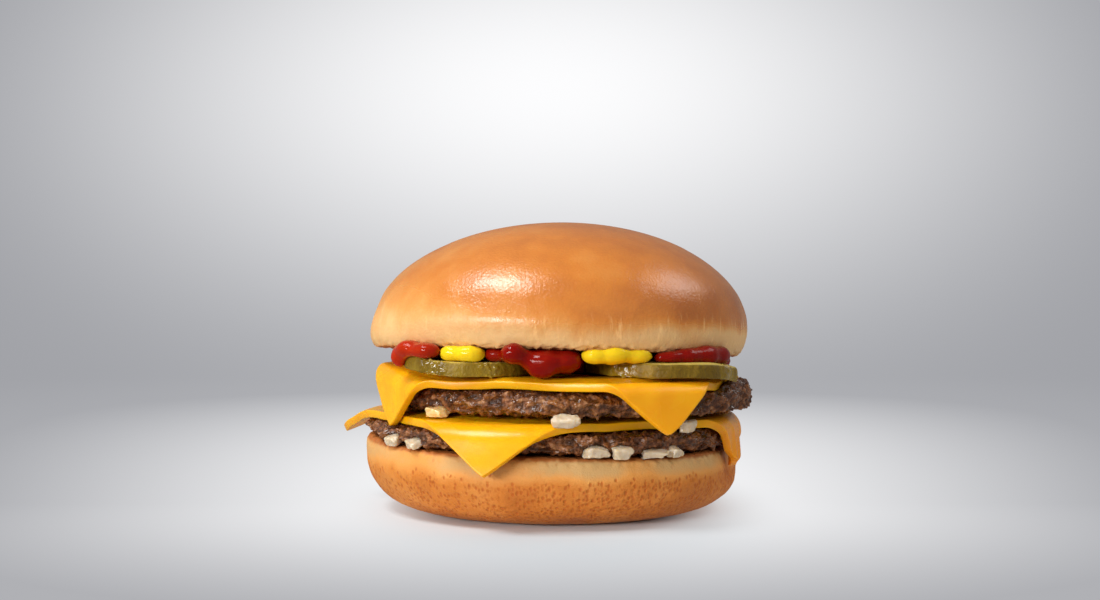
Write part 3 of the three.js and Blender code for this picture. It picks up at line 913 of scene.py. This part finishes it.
def heel_relief(bun, where, out, side, pits):
    """Grain, dimples and pits of the crust, and the crumb of the cut face and its edge."""
    z, height = where[2], HEEL["height"]
    grains = uneven(where, 2.4, 0, 3) * 0.09 * side
    dimples = uneven(where, 9, 4.1, 2) * bun.dimple * PER_METRE * side
    face = rises(z, height - 0.4, height - 0.05) * falls(out, 46, 48.5)
    crumb = -np.abs(uneven(where, 1.9, 0, 3)) * 0.3 * face
    edge_bits = 0.3 * uneven(where, 1.6, 3, 3) * rises(z, height - 3, height - 1.2) * side
    return grains + dimples - pits * bun.pit * PER_METRE + crumb + edge_bits * (1 - face)


def heel_bake(where, azimuth):
    """How well baked the crust is, with a pale band under the cut, and a little darker towards the right,
    which is painted shade.
    """
    x, y, z = where
    band_foot = HEEL["band_foot"] + 1.1 * uneven((x, y, 0), 9, 6.6) + bump_at(HEEL["band_dip"], azimuth)
    bake = 0.62 - 0.55 * rises(z, band_foot - 2.2, band_foot + 2.6)
    # A little darker towards the right: painted shade.
    bake += 0.05 * (x / BUN_RADIUS) * falls(z, 14, 17)
    bake += bump_at(HEEL["well_baked"], azimuth) * rises(z, 11, 14)
    return np.clip(bake + 0.08 * uneven(where, 11), 0, 1)


def make_heel(bun):
    size = HEEL
    foot, waist, height, edge = size["foot_radius"], size["waist_height"], size["height"], size["edge"]
    edge_radius = BUN_RADIUS - size["edge_inset"] - edge
    profile = [(r, 0) for r in (0.5, 14, 25, foot - 1, foot + 0.8)]
    profile += arc(foot, waist, BUN_RADIUS - foot, waist, -86, 0, 12)
    profile += arc(edge_radius, height - edge, edge, edge, 0, 90, 4)
    profile += [(r, height) for r in (45.5, 43, 38, 28, 14, 0.5)]
    heel = spun("heel", profile, 200)
    x, y, z = where = points_of(heel)
    azimuth = azimuth_of(x, y)
    out = np.hypot(x, y)
    level = z / height
    pushed = bump_at(size["curl"], azimuth) * rises(z, 12, 18)
    pushed -= bump_at(size["dent"], azimuth) * rises(z, 6, 12)
    swollen = 1 + level * lopsided(x, y, z, 2.4) + pushed / BUN_RADIUS
    shift = size["foot_shift"] * np.clip(1 - z / 15, 0, None)
    move_points(heel, x * swollen + shift, y * swollen, z + heel_rise(x, y) * level**2)

    side = rises(z, 0.15, 1.5) * rises(out, 33, 37)
    porous, pits = heel_pores(where, side)
    swell(heel, heel_relief(bun, where, out, side, pits))
    paint(heel, "bake", heel_bake(where, azimuth))
    # The pits are painted darker, as painted shade.
    paint(heel, "pit", np.clip(pits * 0.8, 0, 1))
    paint(heel, "porous", porous)
    ragged = 0.35 * uneven(where, 2.2, 9, 2)
    toasted = rises(z + ragged, height - 1.2, height - 0.5) * falls(out + 2 * ragged, 48, 49.4)
    curled = bump_at(size["browned_rim"], azimuth) * rises(z, height - 1.6, height - 0.5)
    paint(heel, "cut", np.clip(toasted + curled, 0, 1) * 0.9)
    return finish(heel, heel_crust(bun), "crust", "bun_heel")


# ---- cheese -------------------------------------------------------------------------------


def slice_points(cheese, u, v):
    """The middle surface of a slice laid over its patty; u and v run from -1 to 1 across it."""
    half = SLICE["half"] * (1 - SLICE["tip_round"] * np.abs(u * v) ** 9)
    around = azimuth_of(u, v) + 45
    nearest = np.round(around / 90).astype(int)
    corner = np.array(cheese["corners"])[nearest % 4].T
    fold, bend, hang, cone, ripple = corner
    steepest = np.radians(hang)

    reach = half * np.hypot(u, v)
    off_corner = np.radians(around - nearest * 90)
    along, across = reach * np.cos(off_corner), reach * np.sin(off_corner)
    length = along + (reach - along) * cone
    tilt = steepest * np.clip((length - fold) / bend, 0, 1)
    straight = np.clip(length - fold - bend, 0, None)
    out = np.minimum(length, fold) + bend / steepest * np.sin(tilt) + straight * np.cos(steepest)
    down = bend / steepest * (1 - np.cos(tilt)) + straight * np.sin(steepest)

    raised = sum(bump_at(lift, cheese["turn"] + around) for lift in cheese["lifts"])
    raised = raised * rises(reach, 32, 46)
    wave = ripple * np.sin(across / 2.2 + 0.9 * noise(across / 5, reach / 7, 0.5)) ** 2
    wave *= rises(length, fold, 60)
    shrink = np.where(length > 0, (out + wave) / np.maximum(length, 1e-6), 1)
    fan = 1 + (shrink - 1) * cone
    heading = np.radians(cheese["turn"] + nearest * 90)
    dx, dy = np.sin(heading), -np.cos(heading)
    x = cheese["centre"][0] + dx * along * shrink - dy * across * fan
    y = cheese["centre"][1] + dy * along * shrink + dx * across * fan
    middle = patty_top(cheese["patty"], x, y) + LAYER_GAP + SLICE["thickness"] / 2
    return x, y, middle - down + raised


def melting_cheese(settings):
    """Smooth, slightly waxy and translucent."""
    material, tree = food("Melting cheese", share=0.3, reach=(1.0, 0.5, 0.05), depth=3, gloss=0.29)
    film = grouped(tree, "Wet film", Patch_size=9.0)
    darker = tinted(settings.body, 0.93, 0.84, 0.6)
    mottle = spread(tree, grain(tree, place(tree), 0.12, 2), 0.3, 0.75)
    body = blended(tree, mottle, settings.body, darker)
    # A hanging corner is painted more orange: painted shade and light through the cheese.
    return surfaced(
        material,
        Base_Color=blended(tree, painted(tree, "thin"), body, settings.thin),
        Roughness=spread(tree, film["Film"], 0, 1, 0.23, 0.3),
        Normal=relief(tree, film["Height"], 0.03),
    )


def make_slice(node_name, cheese, settings, material):
    grid = bpy.ops.mesh.primitive_grid_add
    piece = added(node_name + "_slice", grid, x_subdivisions=150, y_subdivisions=150, size=2 / PER_METRE)
    u, v, _ = points_of(piece)
    x, y, z = slice_points(cheese, np.clip(u, -1, 1), np.clip(v, -1, 1))
    move_points(piece, x, y, z)
    seed = cheese["seed"]
    slow = noise(x / 13 + seed, y / 13, z / 13) + 0.4 * noise(x / 5, y / 5 + seed, z / 5)
    near_edge = rises(np.maximum(np.abs(u), np.abs(v)), 0.55, 0.9)
    # Painted shade and light through the cheese at a hanging corner.
    paint(piece, "thin", bump_at(cheese["thin"], azimuth_of(x, y)) * rises(np.hypot(u, v), 1.0, 1.2))
    swell(piece, settings.sag * PER_METRE * slow * near_edge)
    thickness = SLICE["thickness"] / PER_METRE
    applied(piece, "SOLIDIFY", thickness=thickness, offset=0, use_even_offset=True)
    rounded(piece, settings.edge, 3)
    return finish(piece, material, "cheese", node_name)


# ---- beef ---------------------------------------------------------------------------------


def grilled_beef(beef):
    """Seared granules with darker crevices of painted shade, specks of fat and a greasy gloss."""
    material, tree = food(
        "Grilled beef", share=0.06, reach=(1.0, 0.35, 0.2), depth=1, gloss=0.5, Coat_Roughness=0.12
    )
    spot = place(tree)
    film = grouped(tree, "Wet film", Patch_size=1.7)["Film"]
    fine = grain(tree, spot, 1.6, 4, 0.65)
    tone = plus(tree, painted(tree, "tone"), spread(tree, fine, 0.3, 0.7, -0.22, 0.22))
    flesh = ramp(tree, tone, (0.0, beef.seared), (0.55, beef.meat), (1.0, beef.fat))
    # Painted shade down in the crevices between the granules.
    deep = times(tree, painted(tree, "crevice"), spread(tree, fine, 0.2, 0.6, 1.0, 0.75))
    inputs = {"Vector": spot, "Scale": 1.2, "Smoothness": 0.4}
    crumbs = node(tree, "TexVoronoi", inputs, feature="SMOOTH_F1").outputs["Distance"]
    return surfaced(
        material,
        Base_Color=blended(tree, deep, flesh, beef.crevice),
        Roughness=spread(tree, film, 0.1, 0.9, 0.62, 0.1),
        Coat_Weight=spread(tree, film, 0.5, 0.9, 0.0, 0.7),
        Normal=relief(tree, times(tree, crumbs, -1.0), 0.37, relief(tree, fine, 0.1)),
    )


def patty_form(name, patty, bottom):
    """A disc with a lobed, craggy rim, laid over what is under it. Also gives each point's place on the
    plain disc, its height as a share, and where it is laid."""
    rim, tall = PATTY["rim"], PATTY["spun_height"]
    inner = patty["radius"] - rim
    flat = [inner * share for share in (0.01, 0.4, 0.7, 0.84, 0.92)]
    round_rim = arc(inner, 0.5, rim, 0.5, -90, 90, 11)
    profile = [(r, 0) for r in (*flat, inner)]
    profile += [(inner + rim * (max(0.0, r - inner) / rim) ** 0.75, z) for r, z in round_rim]
    profile += [(r, 1) for r in reversed(flat)]
    piece = spun(name, [(r, z * tall) for r, z in profile], 225)
    x, y, z = points_of(piece)
    level = np.clip(z / tall, 0, 1)
    out = np.maximum(np.hypot(x, y), 1e-6)
    lobes = PATTY["lobes"] * uneven((x, y, 0), 13, patty["seed"])
    crags = PATTY["crags"] * noise(x / 4.3 + patty["seed"], y / 4.3, level * 2.6)
    reach = 1 + rises(out, inner - 1, inner + 1.5) * (lobes + crags) / out
    centre = patty["centre"]
    px, py = centre[0] + x * reach, centre[1] + y * reach
    from_middle = (px - centre[0], py - centre[1])
    curled = bump_at(patty["curl"], azimuth_of(*from_middle)) * rises(np.hypot(*from_middle), 43, 48)
    low, high = bottom(px, py), patty_top(patty, px, py) + curled
    pz = low + (high - low) * level
    move_points(piece, px, py, pz)
    return piece, (x, y, level), (px, py, pz)


def granules(where, size, seed):
    """Granules of mince, in two sizes, pressed a little flat: how far they stand out, how pale they are,
    and how deep the crevices between them are, which sets the painted shade in them."""
    x, y, z = where
    bent = [0.9 * noise(x / 3 + 11 * i, y / 3, z / 3 + seed) for i in range(3)]
    wx, wy, wz = (x + bent[0]) / size, (y + bent[1]) / size, (z * 1.25 + bent[2]) / size
    near, after, drawn, cloud = scattered(wx + seed, wy, wz)
    near_small, after_small, drawn_small, cloud_small = scattered(wx * 2.2, wy * 2.2 + seed, wz * 2.2)
    lump = 1 - np.clip(near / 0.85, 0, 1) ** 2
    stand = 0.85 * (cloud - 0.75) + 0.5 * (cloud_small - 0.75) + 0.15 * (lump - 0.5) * drawn
    stand += 0.2 * uneven(where, 2.1, 0, 2)
    tone = 0.45 + 0.36 * (drawn - 0.5) + 0.34 * (drawn_small - 0.5) + 0.3 * (cloud - 0.75)
    tone += 0.25 * uneven(where, 9)
    gap = falls(after - near, 0.02, 0.22)
    gap_small = falls(after_small - near_small, 0.02, 0.25)
    crevice = 0.3 * gap * (0.4 + drawn_small) + 0.2 * gap_small * drawn
    crevice = np.clip(crevice + 1.3 * (0.5 - cloud) + 0.5 * (0.45 - cloud_small), 0, 1)
    return stand, tone, crevice


def make_patty(node_name, patty, bottom, beef, material, neighbours):
    piece, (x, y, level), where = patty_form(node_name + "_mince", patty, bottom)
    inner = patty["radius"] - PATTY["rim"]
    at_edge = rises(np.hypot(x, y), inner * 0.8, inner * 0.97)
    stand, tone, crevice = granules(where, beef.granule * PER_METRE, patty["seed"])
    swell(piece, beef.relief * PER_METRE * stand * at_edge)
    clear(piece, patty, neighbours)
    # Darker near the top and bottom faces: seared there, and painted shade under the cheese at the top.
    tone -= 0.34 * rises(level, 0.72, 0.97) + 0.12 * falls(level, 0.02, 0.2)
    # Painted shade: the beef darker towards its right side.
    tone -= bump_at(PATTY["seared"], azimuth_of(x, y))
    paint(piece, "tone", np.clip(tone, 0, 1))
    # The crevices are painted darker, as painted shade.
    paint(piece, "crevice", crevice)
    return finish(piece, material, "beef", node_name)


def clear(piece, patty, neighbours):
    """Draws the beef back behind whatever is pressed against it, so nothing pokes through."""
    corners, faces = [], []
    for neighbour in neighbours:
        faces += [[i + len(corners) for i in face.vertices] for face in neighbour.data.polygons]
        corners += [corner.co for corner in neighbour.data.vertices]
    tree = BVHTree.FromPolygons(corners, faces)
    margin = 0.3 / PER_METRE
    x, y, z = points_of(piece)
    across, along = patty["centre"]
    out = np.hypot(x - across, y - along)
    # Each point is drawn back towards an anchor that lies half way up in the beef, well inside its rim.
    keep = np.minimum(out, patty["radius"] * 0.84) / np.maximum(out, 1e-6)
    ax, ay = across + (x - across) * keep, along + (y - along) * keep
    middle = patty["top"] - PATTY["half_height"]
    middles = np.interp(out, [0, 28, 47], [middle, middle, middle - patty["sag"][0] * 0.5])
    for i in np.flatnonzero(out > patty["radius"] * 0.6):
        anchor = Vector((ax[i], ay[i], middles[i])) / PER_METRE
        way = Vector((x[i], y[i], z[i])) / PER_METRE - anchor
        length = way.length
        if length < 1e-6:
            continue
        way /= length
        distance = tree.ray_cast(anchor, way, length + margin)[3]
        if distance is not None:
            point = anchor + way * max(distance - margin, margin)
            x[i], y[i], z[i] = (value * PER_METRE for value in point)
    move_points(piece, x, y, z)


# ---- pickles ------------------------------------------------------------------------------


def pickled_cucumber(pickle):
    """Striped wet skin round the rim, translucent flesh on the faces."""
    material, tree = food(
        "Pickled cucumber", share=0.3, reach=(0.8, 1.0, 0.3), depth=2, gloss=0.34, Coat_Roughness=0.05
    )
    film = grouped(tree, "Wet film", Patch_size=1.6)
    stripes = spread(tree, grain(tree, place(tree, (1, 1, 0.16)), 0.13, 4, 0.62), 0.34, 0.7)
    skin = blended(tree, stripes, pickle.skin, pickle.stripe)
    flecks = spread(tree, grain(tree, place(tree), 0.9, 3, 0.6), 0.5, 0.75, 0, 0.35)
    skin = blended(tree, flecks, skin, pickle.stripe)
    wet = painted(tree, "wet")
    return surfaced(
        material,
        Base_Color=blended(tree, painted(tree, "flesh"), skin, pickle.flesh),
        Roughness=spread(tree, wet, 0.1, 0.6, 0.46, 0.05),
        Coat_Weight=spread(tree, wet, 0.3, 0.8),
        Normal=relief(tree, film["Height"], 0.42),
    )


def make_pickle(node_name, pickle, material):
    radius, thick, drop = pickle["radius"], PICKLE["thickness"], PICKLE["drop"]
    # How far the rim stands in, from the bottom face up to the top one.
    rounding = [(0.5, 0), (0.18, 0.04), (0.04, 0.25), (0, 1), (0, thick - 1.2), (0.12, thick - 0.4)]
    rounding += [(0.4, thick - 0.1), (0.9, thick)]
    profile = [(radius * share, 0) for share in (0.02, 0.5, 0.8)]
    profile += [(radius - inset, height) for inset, height in rounding]
    profile += [(radius * share, thick) for share in (0.8, 0.5, 0.02)]
    piece = spun(node_name + "_slice", profile, 90)
    x, y, z = points_of(piece)
    out = np.hypot(x, y)
    swollen = 1 + 0.03 * noise(x / 9 + pickle["seed"], y / 9, 0.5)
    share_out = np.abs(x / radius)
    lift = np.where(x < 0, pickle["rise"][0] * share_out**2, pickle["rise"][1] * share_out**4)
    lift -= pickle["droop"] * rises(-y / radius, 0.4, 1)
    centre = pickle["centre"]
    move_points(piece, x * swollen + centre[0], y * swollen + centre[1], z + lift + PICKLE["foot"])
    rim = rises(out, radius - 1.4, radius - 0.3)
    wet = sum(bump_at(drip, azimuth_of(x, y)) for drip in pickle["wet"])
    drops = 0.5 * (scattered(x / drop, y / drop, z / drop)[3] - 0.75) * wet
    swell(piece, (0.2 * layered(x / 4 + pickle["seed"], y / 4, z / 6, 2) + drops) * rim)
    paint(piece, "wet", wet)
    # The top edge shows the cut flesh and is painted paler, more so on the right half: a painted
    # highlight where it catches the light.
    edge = rises(z, thick - 0.4, thick - 0.1) * (0.35 + 0.3 * rises(x, 0, 6))
    paint(piece, "flesh", np.clip(falls(out, radius - 0.75, radius - 0.25) + edge, 0, 1))
    return finish(piece, material, "pickle", node_name)


# ---- sauces -------------------------------------------------------------------------------


def sauce(name, body, thinner, patch, reach):
    """Thick, smooth and glossy."""
    material, tree = food(name, share=0.3, reach=reach, depth=1.5, gloss=0.19)
    film = grouped(tree, "Wet film", Patch_size=patch)
    # The second colour lies towards the left and in patches; for the ketchup it is painted light.
    return surfaced(
        material,
        Base_Color=blended(tree, painted(tree, "thin"), body, thinner),
        Roughness=spread(tree, film["Film"], 0, 1, 0.2, 0.08),
        Normal=relief(tree, film["Height"], 0.1),
    )


def remeshed(piece, voxel, rounds):
    applied(piece, "REMESH", mode="VOXEL", voxel_size=voxel / PER_METRE)
    applied(piece, "SMOOTH", factor=0.5, iterations=rounds)


def make_sauce(node_name, size, material, slot):
    piece = copied(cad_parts[node_name].data, node_name + "_sauce")
    edit(piece)
    bpy.ops.mesh.remove_doubles(threshold=1e-5)
    leave_edit()
    # Grown, joined up and shrunk back, so that drops that touch run together.
    for step in (size["reach"], -size["reach"]):
        remeshed(piece, size["voxel"], 3)
        swell(piece, step)
    remeshed(piece, size["voxel"], size["rounds"])
    where = points_of(piece)
    x = where[0]
    fuller = 0.45 * rises(x, 27, 33)
    swell(piece, SAUCE_SWELL + fuller + 0.16 * uneven(where, 2.6) + 0.06 * uneven(where, 1))
    # The second colour lies towards the left and in random patches: for the ketchup a lighter, more
    # orange red, painted light where it is thin and lit; for the mustard a duller yellow.
    paint(piece, "thin", np.clip(rises(-x, 22, 36) + 0.3 * uneven(where, 3), 0, 1))
    return finish(piece, material, slot, node_name)


# ---- onion --------------------------------------------------------------------------------


def raw_onion(onion):
    """Pale and translucent, with fine veins."""
    material, tree = food("Raw onion", share=0.9, reach=(1.0, 0.85, 0.6), depth=2.5, gloss=0.6)
    film = grouped(tree, "Wet film", Patch_size=2.0)
    veins = grain(tree, place(tree, (1.3, 0.5, 0.35)), 1.1, 3, 0.6)
    body = blended(tree, spread(tree, veins, 0.42, 0.75, 0, 0.6), onion.flesh, onion.vein)
    return surfaced(
        material,
        Base_Color=blended(tree, painted(tree, "glazed"), body, onion.glazed),
        Roughness=spread(tree, film["Film"], 0, 1, 0.4, 0.14),
        Normal=relief(tree, veins, 0.1),
    )


def onion_kinds():
    """The three shapes that the onion is chopped into, each a unit across."""
    kinds = {}
    for kind, seed in (("block", 1.2), ("shard", 4.8), ("flake", 8.1)):
        piece = added("onion_" + kind, bpy.ops.mesh.primitive_cube_add, size=1 / PER_METRE)
        edit(piece)
        bpy.ops.mesh.subdivide(number_cuts=3)
        leave_edit()
        x, y, z = points_of(piece)
        if kind == "block":
            x, z = x * (1 + 0.2 * z - 0.12 * y), z * (1 - 0.16 * x)
        elif kind == "shard":
            x, y, z = x * (1 - 0.3 * z), y * (1 + 0.3 * x), z * (1 - 0.35 * x) + 0.1 * np.cos(3 * x)
        else:
            x, z = x + 0.2 * z, z * (0.9 - 0.5 * x) + 0.14 * np.cos(3 * x) - 0.08
        corner = np.clip(8 * np.abs(x * y * z), 0, 1)
        rough = 0.3 * noise(x * 1.7 + seed, y * 1.7, z * 1.7) - 0.16 * corner
        move_points(piece, x * (1 + rough), y * (1 + rough), z * (1 + rough))
        rounded(piece, 0.16 / PER_METRE, 2)
        subdivided(piece)
        kinds[kind] = piece
    return kinds


def make_onion(node_name, onion, under, kinds, material):
    azimuth, out, lift, length, depth, tall, turn, pitch, kind = onion
    piece = copied(kinds[kind].data, node_name + "_piece")
    x, y, z = points_of(piece)
    x, y, z = x * length, y * depth, z * tall
    rough = 0.12 * noise(x / 1.1 + azimuth, y / 1.1, z / 1.1)
    x, y, z = x * (1 + rough), y * (1 + rough), z * (1 + rough)
    y, z = turned(y, z, pitch)
    x, y = turned(x, y, azimuth + turn)
    px, py = outwards(azimuth) * out
    move_points(piece, x + px, y + py, z + float(under(px, py)) + lift + tall / 2)
    return finish(piece, material, "onion", node_name)


# ---- operators ----------------------------------------------------------------------------

pieces = {}


class BURGER_OT_heel(bpy.types.Operator):
    """Models the bottom half of the bun"""

    bl_idname = "burger.heel"
    bl_label = "Heel"

    def execute(self, context):
        make_heel(context.scene.burger_bun)
        return {"FINISHED"}


class BURGER_OT_crown(bpy.types.Operator):
    """Models the top half of the bun"""

    bl_idname = "burger.crown"
    bl_label = "Top of the bun"

    def execute(self, context):
        make_crown(context.scene.burger_bun)
        return {"FINISHED"}


class BURGER_OT_cheese(bpy.types.Operator):
    """Drapes the two slices of cheese"""

    bl_idname = "burger.cheese"
    bl_label = "Cheese"

    def execute(self, context):
        settings = context.scene.burger_cheese
        material = melting_cheese(settings)
        for name, cheese in (("cheese_lower", LOWER_CHEESE), ("cheese_upper", UPPER_CHEESE)):
            pieces[name] = make_slice(name, cheese, settings, material)
        return {"FINISHED"}


class BURGER_OT_onion(bpy.types.Operator):
    """Chops the onion and lays it round the rims"""

    bl_idname = "burger.onion"
    bl_label = "Onion"

    def execute(self, context):
        kinds = onion_kinds()
        material = raw_onion(context.scene.burger_onion)
        for group, chopped, under in (
            ("onion_heel", ONION_ON_HEEL, under_lower),
            ("onion_cheese", ONION_ON_CHEESE, over_lower_slice),
        ):
            for i, onion in enumerate(chopped, 1):
                name = f"{group}_{i}"
                pieces[name] = make_onion(name, onion, under, kinds, material)
        # This piece is painted yellower: cheese run over it, and painted light from the cheese showing
        # through it.
        paint(pieces["onion_cheese_1"], "glazed", 1.0)
        for template in kinds.values():
            bpy.data.objects.remove(template)
        return {"FINISHED"}


class BURGER_OT_patties(bpy.types.Operator):
    """Models the two patties, pressed back behind the cheese and onion"""

    bl_idname = "burger.patties"
    bl_label = "Patties"

    def execute(self, context):
        beef = context.scene.burger_beef
        material = grilled_beef(beef)
        neighbours = list(pieces.values())
        make_patty("patty_lower", LOWER_PATTY, under_lower, beef, material, neighbours)
        make_patty("patty_upper", UPPER_PATTY, under_upper, beef, material, neighbours)
        return {"FINISHED"}


class BURGER_OT_pickles(bpy.types.Operator):
    """Models the two pickle slices"""

    bl_idname = "burger.pickles"
    bl_label = "Pickles"

    def execute(self, context):
        material = pickled_cucumber(context.scene.burger_pickle)
        for name, pickle in PICKLES.items():
            make_pickle(name, pickle, material)
        return {"FINISHED"}


class BURGER_OT_sauces(bpy.types.Operator):
    """Models the ketchup and the three squeezes of mustard"""

    bl_idname = "burger.sauces"
    bl_label = "Sauces"

    def execute(self, context):
        colours = context.scene.burger_sauce
        duller = tinted(colours.mustard, 0.95, 0.85, 0.7)
        materials = {
            "ketchup": sauce("Ketchup", colours.ketchup, colours.thin_ketchup, 4.0, (1.0, 0.15, 0.08)),
            "mustard": sauce("Mustard", colours.mustard, duller, 3.0, (1.0, 0.7, 0.1)),
        }
        for slot, size in SAUCES.items():
            for name in size["nodes"]:
                make_sauce(name, size, materials[slot], slot)
        return {"FINISHED"}


class BURGER_OT_stage(bpy.types.Operator):
    """Sets up the floor, the backdrop, the lights and the camera"""

    bl_idname = "burger.stage"
    bl_label = "Stage"

    def execute(self, context):
        stage = context.scene.burger_stage
        make_backdrop(stage)
        for name, (way, size, setting, mirrored) in SOFTBOXES.items():
            soft_light(name, way, size, getattr(stage, setting), mirrored)
        light_room(context.scene, stage.room)
        bpy.ops.object.camera_add(location=CAMERA["place"], rotation=(math.pi / 2, 0, 0))
        camera = context.active_object
        camera.data.lens = CAMERA["lens"]
        camera.data.sensor_width = CAMERA["sensor"]
        context.scene.camera = camera
        context.scene.view_settings.view_transform = "Standard"
        return {"FINISHED"}


def light_room(scene, brightness):
    world = bpy.data.worlds.new("Room")
    world.use_nodes = True
    feed(
        world.node_tree,
        world.node_tree.nodes["Background"].inputs,
        {"Color": ROOM_TINT, "Strength": brightness},
    )
    scene.world = world


def soft_light(name, way, size, power, mirrored):
    """A rectangular lamp facing the burger; one that isn't mirrored leaves no highlights."""
    way = Vector(way).normalized()
    bpy.ops.object.light_add(type="AREA", location=Vector(LAMPS["aim"]) + way * LAMPS["distance"])
    lamp = bpy.context.active_object
    lamp.name = lamp.data.name = name
    lamp.rotation_euler = (-way).to_track_quat("-Z", "Y").to_euler()
    lamp.data.shape = "RECTANGLE"
    lamp.data.size, lamp.data.size_y = size
    lamp.data.energy = power
    lamp.visible_camera = False
    lamp.visible_glossy = mirrored


def make_backdrop(stage):
    """A sheet that runs along the floor and curves up behind."""
    behind, curve = SHEET["behind"], SHEET["curve"]
    sheet = added("backdrop", bpy.ops.mesh.primitive_plane_add, size=1)
    edit(sheet)
    bpy.ops.transform.resize(value=(SHEET["width"], SHEET["depth"], 1))
    bpy.ops.transform.translate(value=(0, behind - SHEET["depth"] / 2, 0))
    bpy.ops.mesh.select_mode(type="EDGE")
    bpy.ops.mesh.select_all(action="DESELECT")
    leave_edit()
    for line in sheet.data.edges:
        ends = [sheet.data.vertices[i].co for i in line.vertices]
        line.select = all(end.y > behind - 0.1 for end in ends)
    bpy.ops.object.mode_set(mode="EDIT")
    bpy.ops.mesh.spin(steps=16, angle=-math.pi / 2, center=(0, behind, curve), axis=(1, 0, 0))
    bpy.ops.mesh.extrude_region_move(TRANSFORM_OT_translate={"value": (0, 0, SHEET["height"])})
    leave_edit()
    sheet.data.materials.append(studio_paper(stage))
    sheet.visible_glossy = False
    bpy.ops.object.shade_smooth()


def studio_paper(stage):
    """Paper that glows in two patches, and takes light and shadow near the burger."""
    material, tree = new_material(
        "Backdrop", Roughness=0.9, Specular_IOR_Level=0.0, Emission_Strength=1.0
    )
    where = node(tree, "TexCoord", {}).outputs["Object"]
    x, y, z = node(tree, "SeparateXYZ", {"Vector": where}).outputs
    height = maths(tree, "SUBTRACT", z, WALL_GLOW["middle"])
    wall = glow(tree, x, WALL_GLOW["sideways"], over(tree, height, WALL_GLOW["upwards"]))
    in_front = over(tree, maths(tree, "MINIMUM", y, 0.0), FLOOR_GLOW["forwards"])
    behind = maths(tree, "MAXIMUM", y, 0.0)
    beyond = over(tree, behind, FLOOR_GLOW["backwards"])
    sideways = plus(tree, times(tree, behind, FLOOR_GLOW["widening"]), FLOOR_GLOW["sideways"])
    floor = glow(tree, x, sideways, plus(tree, in_front, beyond))
    body = blended(tree, maths(tree, "MAXIMUM", wall, floor), stage.dim, stage.bright)
    near = glow(tree, x, LIT_FLOOR["sideways"], over(tree, y, LIT_FLOOR["lengthways"]))
    share = spread(tree, near, 0, LIT_FLOOR["full_at"])
    # The floor is a soft grey to look at, but throws back the light that the foot of the bun needs.
    bounced = node(tree, "LightPath", {}).outputs["Is Diffuse Ray"]
    white, black = (1, 1, 1), (0, 0, 0)
    lit = blended(tree, share, black, blended(tree, bounced, LIT_FLOOR["grey"], white))
    glowing = blended(tree, share, white, black)
    return surfaced(
        material,
        Base_Color=blended(tree, 1.0, body, lit, "MULTIPLY"),
        Emission_Color=blended(tree, 1.0, body, glowing, "MULTIPLY"),
    )


def glow(tree, sideways, reach, other):
    """1 in the middle of a round patch and 0 at its edge; `other` is already a share of the patch."""
    across = over(tree, sideways, reach)
    squares = plus(tree, times(tree, across, across), times(tree, other, other))
    return spread(tree, maths(tree, "SQRT", squares), 0, 1, 1, 0)


OPERATORS = [
    BURGER_OT_heel,
    BURGER_OT_crown,
    BURGER_OT_cheese,
    BURGER_OT_onion,
    BURGER_OT_patties,
    BURGER_OT_pickles,
    BURGER_OT_sauces,
    BURGER_OT_stage,
]


class BURGER_PT_panel(bpy.types.Panel):
    """Lists the pieces and their settings"""

    bl_label = "Double cheeseburger"
    bl_idname = "BURGER_PT_panel"
    bl_space_type = "VIEW_3D"
    bl_region_type = "UI"
    bl_category = "Burger"

    def draw(self, context):
        for operator in OPERATORS:
            self.layout.operator(operator.bl_idname)
        for name, settings in SETTINGS.items():
            box = self.layout.box()
            box.label(text=settings.__doc__)
            for key in settings.__annotations__:
                box.prop(getattr(context.scene, name), key)


CLASSES = [*SETTINGS.values(), *OPERATORS, BURGER_PT_panel]


def register():
    for item in CLASSES:
        bpy.utils.register_class(item)
    for name, settings in SETTINGS.items():
        setattr(bpy.types.Scene, name, PointerProperty(type=settings))


def unregister():
    for name in SETTINGS:
        delattr(bpy.types.Scene, name)
    for item in reversed(CLASSES):
        bpy.utils.unregister_class(item)


def main():
    register()
    for operator in OPERATORS:
        group, name = operator.bl_idname.split(".")
        getattr(getattr(bpy.ops, group), name)()


if __name__ == "__main__":
    main()
